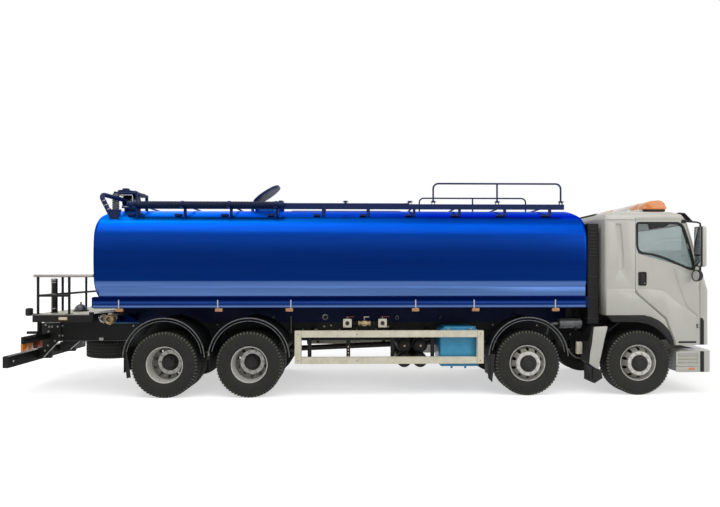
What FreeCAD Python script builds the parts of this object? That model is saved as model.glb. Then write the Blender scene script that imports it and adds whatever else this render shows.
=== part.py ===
"""Four-axle water tanker truck, millimetres.

+X points to the front of the truck, +Z up, and Z = 0 is the ground.  The origin is the middle of the
vehicle's length and width on the ground.  Right is -Y and left is +Y.
"""
import FreeCAD, Part
import math
import os
from types import SimpleNamespace

import Sketcher

Vector = FreeCAD.Vector
doc = FreeCAD.newDocument("tanker_truck")

# ---------------------------------------------------------------- driving dimensions
SIZES = [
    # name, value
    ("front_overhang", 1350),       # first axle to the bumper's front
    ("axle_gap_first", 1850),
    ("axle_gap_bogie", 1370),
    ("bogie_from_tank_rear", 1860),
    ("cab_behind_axle", 580),       # first axle to the cab's rear wall
    ("cab_tank_gap", 265),
    ("tail_length", 1430),          # tank's rear end to the rearmost bar
    ("tyre_radius", 535),
    ("tyre_width", 300),
    ("bead_radius", 286),
    ("rim_radius", 298),
    ("rim_width", 240),
    ("disc_offset", 165),           # wheel's middle plane to its bolting face
    ("hub_radius", 140),
    ("front_wheel_y", 1030),        # middle plane of a steered wheel
    ("twin_y", 925),                # bolting plane between twin wheels
    ("twin_gap", 40),               # between the two tyres of a twin wheel
    ("kingpin_y", 870),
    ("kingpin_radius", 20),
    ("spindle_radius", 50),
    ("running_gap", 0.08),
    ("rail_outer_y", 430),
    ("rail_flange", 80),
    ("rail_plate", 12),
    ("rail_bottom", 820),
    ("rail_height", 328),
    ("subframe_height", 222),       # top of the rails to the tank's lowest line
    ("tank_length", 8125),
    ("tank_width", 2400),
    ("tank_height", 1790),
    ("tank_side_radius", 3700),
    ("tank_crown_radius", 2500),
    ("tank_corner_radius", 450),
    ("tank_end_fillet", 70),
    ("tray_height", 175),
    ("tray_depth", 100),
    ("tray_lift", 90),              # tank's lowest line to the tray's underside
    ("walkway_y", 870),
    ("walkway_bar", 50),
    ("walkway_bar_height", 86),
    ("walkway_rise", 36),           # tank's highest line to the bar's top
    ("walkway_tail", 470),          # tank's rear end to the bar's rear end
    ("foot_setback", 525),
    ("foot_spacing", 775),
    ("guard_post_gap", 1095),
    ("guard_front_setback", 335),
    ("guard_rear_setback", 2925),
    ("guard_height", 310),          # hinge to the top tube's middle
    ("guard_tube", 15),
    ("guard_bend", 90),
    ("guard_hinge_lift", 44),
    ("guard_pin", 8),
    ("hatch_from_rear", 2685),      # tank's rear end to the hatch's middle
    ("hatch_radius", 270),
    ("hatch_neck_height", 110),
    ("hatch_wall", 20),
    ("hatch_depth", 400),
    ("lid_overlap", 15),
    ("lid_thickness", 50),
    ("lid_gap", 5),
    ("lid_open_angle", 34),
    ("platform_lift", 92),          # top of the rails to the platform's underside
    ("platform_thickness", 114),
    ("platform_length", 965),
    ("platform_half_width", 1150),
    ("platform_rail_top", 626),     # above the deck
    ("platform_rail_mid", 303),
    ("platform_tube", 20),
    ("cab_width", 2440),
    ("cab_wall", 45),
    ("cab_floor_bottom", 1330),
    ("cab_skirt_bottom", 840),
    ("cab_front", 1310),            # first axle to the front panel, at the middle
    ("cab_roof", 3050),
    ("door_gap", 7),
    ("door_hinge_inset", 16),
    ("door_pin", 9),
    ("glass_thickness", 6),
    ("tunnel_half_width", 450),
    ("tunnel_top", 1660),
    ("engine_half_width", 330),
    ("engine_bottom", 620),
    ("engine_top", 1540),
    ("pivot_x", 1190),              # first axle to the cab's tilting axis
    ("pivot_z", 910),
    ("pivot_pin", 20),
    ("guard_bottom", 540),
    ("guard_top", 1080),
    ("guard_bar", 106),
    ("guard_depth", 90),
    ("mudguard_gap", 120),          # tyre's radius to the mudguard's
    ("mudguard_lift", 105),         # axle to the mudguard's middle
    ("mudguard_plate", 15),
    ("underrun_bottom", 487),
    ("underrun_height", 193),
    ("spare_gap", 10),
    ("hose_radius", 50),
    ("rung_gap", 290),
    ("outlet_radius", 50),
    ("seat_gap", 70),
    ("seat_to_side", 200),
]

sheet = doc.addObject("Spreadsheet::Sheet", "Sizes")


class Size:
    """A length worked out from the sheet: its value now and the expression that keeps it bound."""

    def __init__(self, value, text):
        self.value = float(value)
        self.text = text

    def __float__(self):
        return self.value

    def __neg__(self):
        return Size(-self.value, f"(-{self.text})")

    def __add__(self, other):
        other = as_size(other)
        return Size(self.value + other.value, f"({self.text} + {other.text})")

    def __sub__(self, other):
        other = as_size(other)
        return Size(self.value - other.value, f"({self.text} - {other.text})")

    def __mul__(self, factor):
        return Size(self.value * factor, f"({self.text} * {factor})")

    __radd__ = __add__
    __rmul__ = __mul__

    def __rsub__(self, other):
        return as_size(other) - self

    def __lt__(self, other):
        return self.value < float(other)


def as_size(number):
    return number if isinstance(number, Size) else Size(number, f"({number})")


def fill_sheet():
    named = {}
    for row, (name, value) in enumerate(SIZES, start=1):
        sheet.set(f"A{row}", name)
        sheet.set(f"B{row}", str(value))
        sheet.setAlias(f"B{row}", name)
        named[name] = Size(value, f"Sizes.{name}")
    doc.recompute()
    return SimpleNamespace(**named)


s = fill_sheet()

# ---------------------------------------------------------------- places along the truck
overall_length = s.front_overhang + s.cab_behind_axle + s.cab_tank_gap + s.tank_length + s.tail_length
front_end = overall_length * 0.5
axle_1 = front_end - s.front_overhang
axle_2 = axle_1 - s.axle_gap_first
cab_rear = axle_1 - s.cab_behind_axle
tank_front = cab_rear - s.cab_tank_gap
tank_rear = tank_front - s.tank_length
rear_end = tank_rear - s.tail_length
bogie_x = tank_rear + s.bogie_from_tank_rear
axle_3 = bogie_x + s.axle_gap_bogie * 0.5
axle_4 = bogie_x - s.axle_gap_bogie * 0.5
rail_front = axle_1 + 1050
rail_rear = rear_end + 200
rail_top = s.rail_bottom + s.rail_height
rail_inner_y = s.rail_outer_y - s.rail_flange
tank_bottom = rail_top + s.subframe_height
tank_top = tank_bottom + s.tank_height
hatch_x = tank_rear + s.hatch_from_rear
side_y = s.tank_width * 0.5
tray_bottom = tank_bottom + s.tray_lift
walkway_top = tank_top + s.walkway_rise
hinge_z = walkway_top + s.guard_hinge_lift
hatch_neck_top = tank_top + s.hatch_neck_height
hose_y = -(s.walkway_y + s.walkway_bar * 0.5 + 52)
hose_z = tank_top + 20
platform_bottom = rail_top + s.platform_lift
platform_top = platform_bottom + s.platform_thickness
half_cab = s.cab_width * 0.5
twin_half = (s.tyre_width + s.twin_gap) * 0.5
twin_hub_y = s.twin_y - 225
twin_inner_y = s.twin_y - twin_half - s.tyre_width * 0.5
twin_outer_y = s.twin_y + twin_half + s.tyre_width * 0.5
mudguard_radius = s.tyre_radius + s.mudguard_gap
mudguard_centre = s.tyre_radius + s.mudguard_lift
seat_inner_y = s.tunnel_half_width + s.seat_gap
seat_outer_y = half_cab - s.seat_to_side

NODES = []


# ---------------------------------------------------------------- building blocks
def add(kind, name):
    return doc.addObject(kind, name)


def bind(item, **sizes):
    for prop, size in sizes.items():
        item.setExpression(prop, as_size(size).text)
    return item


def place(item, x, y, z, rotation=None):
    item.Placement = FreeCAD.Placement(Vector(), rotation or FreeCAD.Rotation())
    for axis, size in zip("xyz", (x, y, z)):
        item.setExpression(f"Placement.Base.{axis}", as_size(size).text)
    return item


def slab(x0, x1, y0, y1, z0, z1):
    """Box between two corners."""
    item = bind(add("Part::Box", "slab"), Length=as_size(x1) - x0, Width=as_size(y1) - y0,
                Height=as_size(z1) - z0)
    return place(item, x0, y0, z0)


AXES = {
    "x": FreeCAD.Rotation(Vector(0, 1, 0), 90),
    "y": FreeCAD.Rotation(Vector(1, 0, 0), -90),
    "z": FreeCAD.Rotation(),
}


def rod(axis, x, y, z, radius, length):
    """Cylinder that starts at a point and runs along +axis."""
    item = bind(add("Part::Cylinder", "rod"), Radius=radius, Height=length)
    return place(item, x, y, z, AXES[axis])


def cross_rod(x, y0, y1, z, radius):
    """Cylinder along Y between two places."""
    return rod("y", x, y0, z, radius, as_size(y1) - y0)


def side_span(side, inner, outer):
    """Y range of something that lies between inner and outer on one side."""
    return (inner, outer) if side > 0 else (-as_size(outer), -as_size(inner))


def fuse(name, items):
    item = add("Part::MultiFuse", name)
    item.Shapes = items
    return item


def group(name, items):
    item = add("Part::Compound", name)
    item.Links = items
    return item


def cut(name, base, *tools):
    for tool in tools:
        item = add("Part::Cut", name)
        item.Base = base
        item.Tool = tool
        base = item
    return base


def common(name, base, tool):
    item = add("Part::Common", name)
    item.Base = base
    item.Tool = tool
    return item


def node(label, item):
    """Name a finished piece; it is written to its own file."""
    item.Label = label
    NODES.append(item)
    return item


PLANES = {
    "xz": FreeCAD.Rotation(Vector(1, 0, 0), 90),
    "xy": FreeCAD.Rotation(),
}


def outline(plane, corners):
    """Closed sketch whose corners are bound to the sheet."""
    sketch = add("Sketcher::SketchObject", "outline")
    count = len(corners)
    for index in range(count):
        start, end = corners[index], corners[(index + 1) % count]
        sketch.addGeometry(Part.LineSegment(Vector(float(start[0]), float(start[1]), 0),
                                            Vector(float(end[0]), float(end[1]), 0)))
    for index in range(count):
        sketch.addConstraint(Sketcher.Constraint("Coincident", index, 2, (index + 1) % count, 1))
    for index, corner in enumerate(corners):
        for kind, size in zip(("DistanceX", "DistanceY"), corner):
            size = as_size(size)
            number = sketch.addConstraint(Sketcher.Constraint(kind, -1, 1, index, 1, size.value))
            sketch.setExpression(f"Constraints[{number}]", size.text)
    sketch.Placement = FreeCAD.Placement(Vector(), PLANES[plane])
    return sketch


def extrusion(sketch, direction, length):
    item = add("Part::Extrusion", "extrusion")
    item.Base = sketch
    item.DirMode = "Custom"
    item.Dir = direction
    item.Solid = True
    return bind(item, LengthFwd=length)


def side_plate(corners, y0, y1):
    """Outline in X and Z, extruded across from y0 to y1."""
    item = extrusion(outline("xz", corners), Vector(0, 1, 0), as_size(y1) - y0)
    return place(item, 0, y0, 0)


def turned(corners, x, y, z):
    """Outline of (offset along Y, radius) turned about a lateral axis at x, y, z."""
    item = add("Part::Revolution", "turned")
    item.Source = outline("xy", corners)
    item.Axis = Vector(1, 0, 0)
    item.Base = Vector(0, 0, 0)
    item.Angle = 360
    item.Solid = True
    return place(item, x, y, z, FreeCAD.Rotation(Vector(0, 0, 1), 90))


def tube(points, bend, radius):
    """Round bar along straight runs joined by arcs."""
    points = [Vector(*(float(value) for value in point)) for point in points]
    edges = []
    start = points[0]
    for before, corner, after in zip(points, points[1:], points[2:]):
        back = (before - corner).normalize()
        ahead = (after - corner).normalize()
        half = back.getAngle(ahead) / 2
        reach = float(bend) / math.tan(half)
        first = corner + back * reach
        last = corner + ahead * reach
        inward = (back + ahead).normalize()
        middle = corner + inward * (float(bend) / math.sin(half) - float(bend))
        edges.append(Part.LineSegment(start, first).toShape())
        edges.append(Part.Arc(first, middle, last).toShape())
        start = last
    edges.append(Part.LineSegment(start, points[-1]).toShape())
    path = Part.Wire(edges)
    direction = points[1] - points[0]
    ring = Part.Wire([Part.Circle(points[0], direction, float(radius)).toShape()])
    item = add("Part::Feature", "tube")
    item.Shape = path.makePipeShell([ring], True, False)
    return item


# ---------------------------------------------------------------- tank
def meet(first, first_radius, second, second_radius):
    """Point in the first quadrant where two circles meet."""
    gap = second - first
    along = (first_radius ** 2 - second_radius ** 2 + gap.Length ** 2) / (2 * gap.Length)
    height = math.sqrt(first_radius ** 2 - along ** 2)
    unit = gap / gap.Length
    foot = first + unit * along
    options = [foot + Vector(-unit.y, unit.x, 0) * height, foot - Vector(-unit.y, unit.x, 0) * height]
    return max(options, key=lambda point: min(point.x, point.y))


def tank_arcs():
    """Section as (start, middle, end) arcs about its own centre, going round from the right side."""
    half_width = float(s.tank_width) / 2
    half_height = float(s.tank_height) / 2
    corner = float(s.tank_corner_radius)
    side_centre = Vector(half_width - float(s.tank_side_radius), 0, 0)
    crown_centre = Vector(0, half_height - float(s.tank_crown_radius), 0)
    middle = meet(side_centre, float(s.tank_side_radius) - corner,
                  crown_centre, float(s.tank_crown_radius) - corner)
    low = middle + (middle - side_centre).normalize() * corner
    high = middle + (middle - crown_centre).normalize() * corner
    knee = middle + ((low - middle) + (high - middle)).normalize() * corner
    quarter = [
        (Vector(low.x, -low.y, 0), Vector(half_width, 0, 0), low),
        (low, knee, high),
        (high, Vector(0, half_height, 0), Vector(-high.x, high.y, 0)),
        (Vector(-high.x, high.y, 0), Vector(-knee.x, knee.y, 0), Vector(-low.x, low.y, 0)),
    ]
    opposite = [tuple(point * -1 for point in arc) for arc in quarter]
    return quarter + opposite


def tank_body():
    """Barrel as a padded section with rounded ends."""
    body = add("PartDesign::Body", "tank_body")
    sketch = body.newObject("Sketcher::SketchObject", "tank_section")
    plane = [item for item in body.Origin.OriginFeatures if item.Role == "YZ_Plane"][0]
    sketch.AttachmentSupport = [(plane, "")]
    sketch.MapMode = "FlatFace"
    bind(sketch, **{"AttachmentOffset.Base.y": tank_bottom + s.tank_height * 0.5})
    for start, middle, end in tank_arcs():
        sketch.addGeometry(Part.Arc(start, middle, end))
    pad = body.newObject("PartDesign::Pad", "barrel")
    pad.Profile = sketch
    bind(pad, Length=s.tank_length)
    doc.recompute()
    ends = []
    for index, edge in enumerate(pad.Shape.Edges, start=1):
        box = edge.BoundBox
        if box.XLength < 1:
            ends.append(f"Edge{index}")
    fillet = body.newObject("PartDesign::Fillet", "end_knuckles")
    fillet.Base = (pad, ends)
    bind(fillet, Radius=s.tank_end_fillet)
    place(body, tank_rear, 0, 0)
    doc.recompute()
    return body


def tank_shell(barrel):
    neck = rod("z", hatch_x, 0, tank_top - 60, s.hatch_radius, hatch_neck_top - tank_top + 60)
    hinge_x = hatch_x - s.hatch_radius - s.lid_overlap - 30
    lugs = [slab(hinge_x - 18, hinge_x + 14, *side_span(side, 56, 76), tank_top - 60, lid_hinge_z() + 18)
            for side in (-1, 1)]
    pin = cross_rod(hinge_x, -76, 76, lid_hinge_z(), s.guard_pin)
    solid = fuse("tank_solid", [barrel, neck, pin] + lugs)
    well = rod("z", hatch_x, 0, hatch_neck_top - s.hatch_depth, s.hatch_radius - s.hatch_wall, s.hatch_depth + 1)
    node("tank_shell", cut("tank_shell", solid, well))


def lid_hinge_z():
    return hatch_neck_top + s.lid_gap + s.lid_thickness * 0.5


def manhole_lid():
    """Round lid, drawn closed, then turned open about its rear hinge."""
    radius = s.hatch_radius + s.lid_overlap
    hinge_x = hatch_x - radius - 30
    reach = radius + 30
    disc = rod("z", reach, 0, s.lid_thickness * -0.5, radius, s.lid_thickness)
    eye = cross_rod(0, -50, 50, 0, 18)
    strap = slab(0, reach, -50, 50, -14, 14)
    bore = cross_rod(0, -60, 60, 0, s.guard_pin + s.running_gap)
    lid = cut("manhole_lid", fuse("lid_solid", [disc, eye, strap]), bore)
    lid.Placement = FreeCAD.Placement(Vector(), FreeCAD.Rotation(Vector(0, -1, 0), 34))
    for axis, size in zip("xyz", (hinge_x, as_size(0), lid_hinge_z())):
        lid.setExpression(f"Placement.Base.{axis}", size.text)
    lid.setExpression("Placement.Rotation.Angle", s.lid_open_angle.text)
    node("manhole_lid", lid)


def tank_subframe(barrel):
    """Two beams under the barrel, and the trays along its lower corners with their brackets."""
    pieces = []
    for side in (-1, 1):
        pieces.append(slab(tank_rear + 80, tank_front - 60, *side_span(side, rail_inner_y, s.rail_outer_y),
                           rail_top, tank_bottom + 60))
        tray = slab(tank_rear, tank_front, *side_span(side, side_y - s.tray_depth, side_y),
                    tray_bottom, tray_bottom + s.tray_height)
        brackets = [slab(tank_rear + s.tank_length * share - 6, tank_rear + s.tank_length * share + 6,
                         *side_span(side, 800, side_y - s.tray_depth), tray_bottom, tray_bottom + 150)
                    for share in (0.04, 0.2, 0.36, 0.52, 0.68, 0.84, 0.97)]
        pieces.append(fuse("tray", [tray] + brackets))
    node("tank_subframe", cut("tank_subframe", group("tank_supports", pieces), barrel))


# ---------------------------------------------------------------- tank top
def walkway_feet():
    first = tank_front - s.foot_setback
    count = int((float(first) - float(tank_rear + s.walkway_tail)) // float(s.foot_spacing)) + 1
    return [first - s.foot_spacing * index for index in range(count)]


def guard_posts(front):
    """X places of a folding rail's three posts, from its front post."""
    return [front - s.guard_post_gap * index for index in range(3)]


FRONT_GUARD_X = tank_front - s.guard_front_setback
REAR_GUARD_X = tank_front - s.guard_rear_setback
HINGE_LUG = 24


def walkway(barrel):
    bars = []
    for side in (-1, 1):
        y0, y1 = side_span(side, s.walkway_y - s.walkway_bar * 0.5, s.walkway_y + s.walkway_bar * 0.5)
        low = walkway_top - s.walkway_bar_height
        pieces = [slab(tank_rear + s.walkway_tail, tank_front - 285, y0, y1, low, walkway_top)]
        for x in walkway_feet():
            pieces.append(slab(x - 20, x + 20, y0, y1, tank_top - s.tank_height * 0.5, low))
        for x in guard_posts(FRONT_GUARD_X) + guard_posts(REAR_GUARD_X):
            for shift in (-1, 1):
                pieces.append(slab(x + HINGE_LUG * shift - 4, x + HINGE_LUG * shift + 4, y0 + 8, y1 - 8,
                                   walkway_top, hinge_z + 17))
            pieces.append(rod("x", x - HINGE_LUG - 4, (y0 + y1) * 0.5, hinge_z, s.guard_pin,
                              2 * HINGE_LUG + 8))
        bars.append(fuse("bar", pieces))
    ties = [slab(x - 15, x + 15, s.walkway_bar * 0.5 - s.walkway_y, s.walkway_y - s.walkway_bar * 0.5,
                 tank_top + 5, tank_top + 25)
            for x in walkway_feet() if abs(float(x - hatch_x)) > float(s.hatch_radius) + 80]
    saddles = [slab(x - 20, x + 20, hose_y - 48, -(s.walkway_y + s.walkway_bar * 0.5),
                    hose_z - s.hose_radius - 15, hose_z - s.hose_radius) for x in hose_saddles()]
    solid = fuse("walkway_solid", bars + ties + saddles)
    node("walkway", cut("walkway", solid, barrel))


def guard_rail(label, front, side, folded):
    """Loop of round tube on three hinged posts; upright, or folded flat towards the middle."""
    posts = guard_posts(front)
    loop = tube([(posts[0], 0, 0), (posts[0], 0, s.guard_height), (posts[2], 0, s.guard_height),
                 (posts[2], 0, 0)], s.guard_bend, s.guard_tube)
    middle = rod("z", posts[1], 0, 0, s.guard_tube, s.guard_height)
    eyes = [rod("x", x - 18, 0, 0, s.guard_tube + 1, 36) for x in posts]
    bores = [rod("x", x - 40, 0, 0, s.guard_pin + s.running_gap, 80) for x in posts]
    rail = cut(label, fuse("rail_solid", [loop, middle] + eyes), group("rail_bores", bores))
    turn = FreeCAD.Rotation(Vector(1, 0, 0), 90 * side) if folded else FreeCAD.Rotation()
    place(rail, 0, s.walkway_y * side, hinge_z, turn)
    node(label, rail)


def hose_saddles():
    return [tank_rear + 600 + 780 * index for index in range(4)]


def suction_hose():
    node("suction_hose", rod("x", tank_rear + s.walkway_tail, hose_y, hose_z, s.hose_radius, 2600))


PIPE_Y = -985
PIPE_RADIUS = 38


def top_pump(barrel):
    """Motor pump on a foot, its bent pipe down to the shoulder, and a capped cage of square bars."""
    x0, x1 = tank_rear + 60, tank_rear + 440
    cage_top = tank_top + 290
    low = tank_top - 80
    motor = rod("x", x0 + 60, -280, tank_top + 140, 100, x1 - x0 - 120)
    foot = slab(x0 + 90, x1 - 90, -350, -210, low, tank_top + 70)
    pipe = tube([(tank_rear + 275, PIPE_Y, tank_top - 310), (tank_rear + 30, PIPE_Y, tank_top + 185),
                 (x0 + 190, -320, tank_top + 140)], 90, PIPE_RADIUS)
    gusset = side_plate([(tank_rear + 130, tank_top - 80), (tank_rear + 400, tank_top - 80),
                         (tank_rear + 330, tank_top - 300)], PIPE_Y - PIPE_RADIUS - 4, PIPE_Y - PIPE_RADIUS + 8)
    node("top_pump", cut("top_pump", fuse("pump_solid", [motor, foot, pipe, gusset]), barrel))
    bars = []
    for x in (x0, x1):
        for y in (-520, -60):
            bars.append(slab(x - 15, x + 15, y - 15, y + 15, low, cage_top))
        bars.append(slab(x - 15, x + 15, -520, -60, cage_top - 30, cage_top))
    for y in (-520, -60):
        bars.append(slab(x0, x1, y - 15, y + 15, cage_top - 30, cage_top))
    bars.append(slab(x0 + 60, x0 + 120, -520, -60, cage_top - 20, cage_top))
    bars.append(rod("z", x0 + 95, -290, cage_top - 20, 138, 70))
    bars.append(rod("z", x0 + 95, -290, cage_top + 50, 60, 40))
    return bars


def rear_ladder(barrel, cage):
    """Two stiles that hoop over the tank's end, with rungs and stand-offs, and the pump's cage."""
    x = tank_rear - 120
    pieces = list(cage)
    for y, drop in ((300, 80), (660, 160)):
        pieces.append(tube([(x, y, platform_top), (x, y, tank_top + 420), (tank_rear + 130, y, tank_top + 420),
                            (tank_rear + 130, y, tank_top - drop)], 60, 18))
        for z in (tank_bottom + 330, tank_top - 460):
            pieces.append(slab(x, tank_rear + 5, y - 12, y + 12, z, z + 24))
    for index in range(int(float(tank_top - platform_top) // float(s.rung_gap))):
        pieces.append(cross_rod(x, 300, 660, platform_top + 280 + s.rung_gap * index, 14))
    node("rear_ladder", cut("rear_ladder", fuse("ladder_solid", pieces), barrel))


# ---------------------------------------------------------------- chassis
CROSS_MEMBERS = (axle_2 + 100, axle_2 - 1050, axle_2 - 2450, axle_3 + 775, axle_4 - 805, rail_rear + 300)


def channel(side):
    outer = slab(rail_rear, rail_front, *side_span(side, rail_inner_y, s.rail_outer_y),
                 s.rail_bottom, rail_top)
    hollow = slab(rail_rear, rail_front, *side_span(side, rail_inner_y, s.rail_outer_y - s.rail_plate),
                  s.rail_bottom + s.rail_plate, rail_top - s.rail_plate)
    return cut("channel", outer, hollow)


def chassis_frame():
    web_y = s.rail_outer_y - s.rail_plate
    pieces = [channel(-1), channel(1)]
    for x in CROSS_MEMBERS:
        pieces.append(slab(x - 50, x + 50, -web_y, web_y, s.rail_bottom + 90, rail_top - 60))
    pieces.append(slab(rail_front - 100, rail_front, -web_y, web_y, s.rail_bottom, s.rail_bottom + 90))
    pieces.append(slab(bogie_x - 100, bogie_x + 100, -web_y, web_y, s.rail_bottom + 90, rail_top - 60))
    pivot_x = axle_1 + s.pivot_x
    for side in (-1, 1):
        pieces.append(slab(rail_front - 60, pivot_x, *side_span(side, rail_inner_y + 20, s.rail_outer_y),
                           s.pivot_z - 42, s.pivot_z + 42))
        pieces.append(cross_rod(pivot_x, *side_span(side, rail_inner_y + 20, s.rail_outer_y), s.pivot_z, 42))
        pieces.append(cross_rod(pivot_x, *side_span(side, rail_inner_y + 20, s.rail_outer_y + 90), s.pivot_z,
                                s.pivot_pin))
        pieces.append(slab(cab_rear + 20, cab_rear + 120, *side_span(side, rail_inner_y, s.rail_outer_y),
                           rail_top, s.cab_floor_bottom - 2))
        pieces.append(slab(bogie_x - 140, bogie_x + 140, *side_span(side, s.rail_outer_y, bogie_spring_y),
                           580, 1100))
    pieces.append(slab(RESERVOIR_X - 390, RESERVOIR_X + 120, -(s.rail_outer_y + RESERVOIR_PLATE),
                       -s.rail_outer_y, 560, rail_top))
    for side in (-1, 1):
        for corner, inner, outer, low, high in OUTRIGGERS:
            if corner[0] == side:
                x = corner[1]
                pieces.append(slab(x - 25, x + 25, *side_span(side, inner, outer), low, high))
    node("chassis_frame", fuse("chassis_frame", pieces))


bogie_spring_y = twin_inner_y - 105
AUX_TANK_X = axle_2 - 730
RESERVOIR_X = axle_2 - 1760
RESERVOIR_PLATE = 20
FUEL_TANK_X = axle_2 - 900

OUTRIGGERS = [
    # (side, x), inner y, outer y, bottom, top
    ((-1, AUX_TANK_X - 180), s.rail_outer_y, 560, 880, 960),
    ((-1, AUX_TANK_X - 550), s.rail_outer_y, 560, 880, 960),
    ((1, FUEL_TANK_X - 250), s.rail_outer_y, 520, 880, 960),
    ((1, FUEL_TANK_X - 950), s.rail_outer_y, 520, 880, 960),
    ((-1, axle_1 - 975), s.rail_outer_y, 1000, 1060, 1090),
]


def engine_block():
    block = slab(axle_1 - 750, axle_1 + 650, -s.engine_half_width, s.engine_half_width,
                 s.engine_bottom, s.engine_top)
    mounts = []
    for side in (-1, 1):
        for offset in (-300, 400):
            x = axle_1 + offset
            mounts.append(slab(x - 60, x + 60,
                               *side_span(side, s.engine_half_width, s.rail_outer_y - s.rail_plate),
                               900, 1000))
    return fuse("engine_block", [block] + mounts)


def powertrain():
    """Engine on its mounts, and the gearbox with its shafts to the bogie."""
    box = slab(axle_1 - 1500, axle_1 - 750, -200, 200, s.engine_bottom, 1090)
    shaft = tube([(axle_1 - 1480, 0, 800), (axle_3 + 190, 0, 600)], 0, 50)
    link = rod("x", axle_4 + 190, 0, 600, 45, axle_3 - axle_4 - 380)
    balls = group("final_drives", [final_drive(x) for x in (axle_3, axle_4)])
    node("powertrain", group("powertrain", [engine_block(), cut("driveline", fuse("driveline_solid", [box, shaft, link]), balls)]))


def final_drive(x):
    return place(bind(add("Part::Sphere", "final_drive"), Radius=210), x, 0, s.tyre_radius)


def axles():
    """Two steered beams with kingpin bosses, two driven axles with their final drives."""
    pieces = []
    for x in (axle_1, axle_2):
        beam = slab(x - 45, x + 45, -s.kingpin_y, s.kingpin_y, s.tyre_radius - 45, s.tyre_radius + 45)
        bosses = [rod("z", x, s.kingpin_y * side, s.tyre_radius - 60, 45, 120) for side in (-1, 1)]
        bores = [rod("z", x, s.kingpin_y * side, s.tyre_radius - 80, s.kingpin_radius + s.running_gap, 160)
                 for side in (-1, 1)]
        pieces.append(cut("beam", fuse("beam_solid", [beam] + bosses), group("beam_bores", bores)))
    for x in (axle_3, axle_4):
        casing = cross_rod(x, 10 - twin_hub_y, twin_hub_y - 10, s.tyre_radius, 75)
        spindle = cross_rod(x, -(s.twin_y + 115), s.twin_y + 115, s.tyre_radius, s.spindle_radius)
        pieces.append(fuse("driven_axle", [casing, spindle, final_drive(x)]))
    node("axles", group("axles", pieces))


def leaf_spring(x, side):
    """Tapered pack on its axle's pad, with a hanger at each end."""
    y0, y1 = side_span(side, rail_inner_y, s.rail_outer_y)
    pad = s.tyre_radius + 45
    pack = side_plate([(x - 800, pad + 120), (x - 400, pad + 55), (x, pad + 20), (x + 400, pad + 55),
                       (x + 800, pad + 120), (x + 800, pad + 155), (x + 400, pad + 110), (x, pad + 90),
                       (x - 400, pad + 110), (x - 800, pad + 155)], y0, y1)
    seat = slab(x - 90, x + 90, y0, y1, pad, pad + 40)
    hangers = [slab(x + end - 35, x + end + 35, y0, y1, pad + 110, s.rail_bottom) for end in (-790, 790)]
    return fuse("spring", [pack, seat] + hangers)


def bogie_spring(side):
    """Pack that rocks on the trunnion and rests on both driven axles."""
    y0, y1 = side_span(side, bogie_spring_y, bogie_spring_y + 80)
    top = s.tyre_radius + 75
    half = s.axle_gap_bogie * 0.5
    pack = side_plate([(bogie_x - half - 90, top), (bogie_x - half + 90, top), (bogie_x, top + 80),
                       (bogie_x + half - 90, top), (bogie_x + half + 90, top),
                       (bogie_x + half + 90, top + 40), (bogie_x + 120, top + 190), (bogie_x - 120, top + 190),
                       (bogie_x - half - 90, top + 40)], y0, y1)
    seat = slab(bogie_x - 110, bogie_x + 110, y0, y1, top - 10, top + 110)
    return fuse("bogie_spring", [pack, seat])


def leaf_springs():
    packs = [leaf_spring(x, side) for x in (axle_1, axle_2) for side in (-1, 1)]
    packs += [bogie_spring(side) for side in (-1, 1)]
    node("leaf_springs", group("leaf_springs", packs))


def ring_sector(x, y0, y1, low):
    """Arch of plate over a wheel, kept to its own half of the bogie."""
    outer = cross_rod(x, y0, y1, mudguard_centre, mudguard_radius)
    hollow = cross_rod(x, y0, y1, mudguard_centre, mudguard_radius - s.mudguard_plate)
    reach = min(float(mudguard_radius), float(s.axle_gap_bogie) / 2 - 2)
    keep = slab(x - reach, x + reach, y0, y1, low, mudguard_centre + mudguard_radius + 10)
    return common("arch", cut("ring", outer, hollow), keep)


MUDGUARDS = [
    # axle, inner y, outer y, lowest edge, flap's bottom
    (axle_1, 880, 1160, 1060, None),
    (axle_2, 880, side_y, 800, 340),
    (axle_3, twin_inner_y - 5, twin_outer_y + 5, 800, 420),
    (axle_4, twin_inner_y - 5, twin_outer_y + 5, 800, 420),
]


def mudguards():
    pieces = []
    top = mudguard_centre + mudguard_radius
    for x, inner, outer, low, flap in MUDGUARDS:
        for side in (-1, 1):
            parts = [ring_sector(x, *side_span(side, inner, outer), low)]
            parts.append(slab(x - 30, x + 30, *side_span(side, s.rail_outer_y, inner + 40),
                              top - s.mudguard_plate, top))
            parts.append(slab(x - 30, x + 30, *side_span(side, s.rail_outer_y, s.rail_outer_y + 15), 1000, top))
            if flap:
                edge = x + 22 - min(float(mudguard_radius), float(s.axle_gap_bogie) / 2 - 8)
                parts.append(slab(edge - 6, edge + 6, *side_span(side, inner, outer), flap, low + 20))
            pieces.append(fuse("mudguard", parts))
    for side in (-1, 1):
        tail = side_plate([(axle_1 - 531, 1130), (axle_1 - 640, 800), (axle_1 - 703, 439),
                           (axle_1 - 843, 546), (axle_1 - 860, 900), (axle_1 - 800, 1155)],
                          *side_span(side, half_cab - 320, half_cab))
        flap = slab(axle_1 - 790, axle_1 - 778, *side_span(side, half_cab - 320, half_cab), 220, 520)
        arm = slab(axle_1 - 790, axle_1 - 740, *side_span(side, s.rail_outer_y, half_cab - 320), 1000, 1045)
        pieces.append(fuse("cab_tail", [tail, flap, arm]))
    node("mudguards", group("mudguards", pieces))


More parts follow.
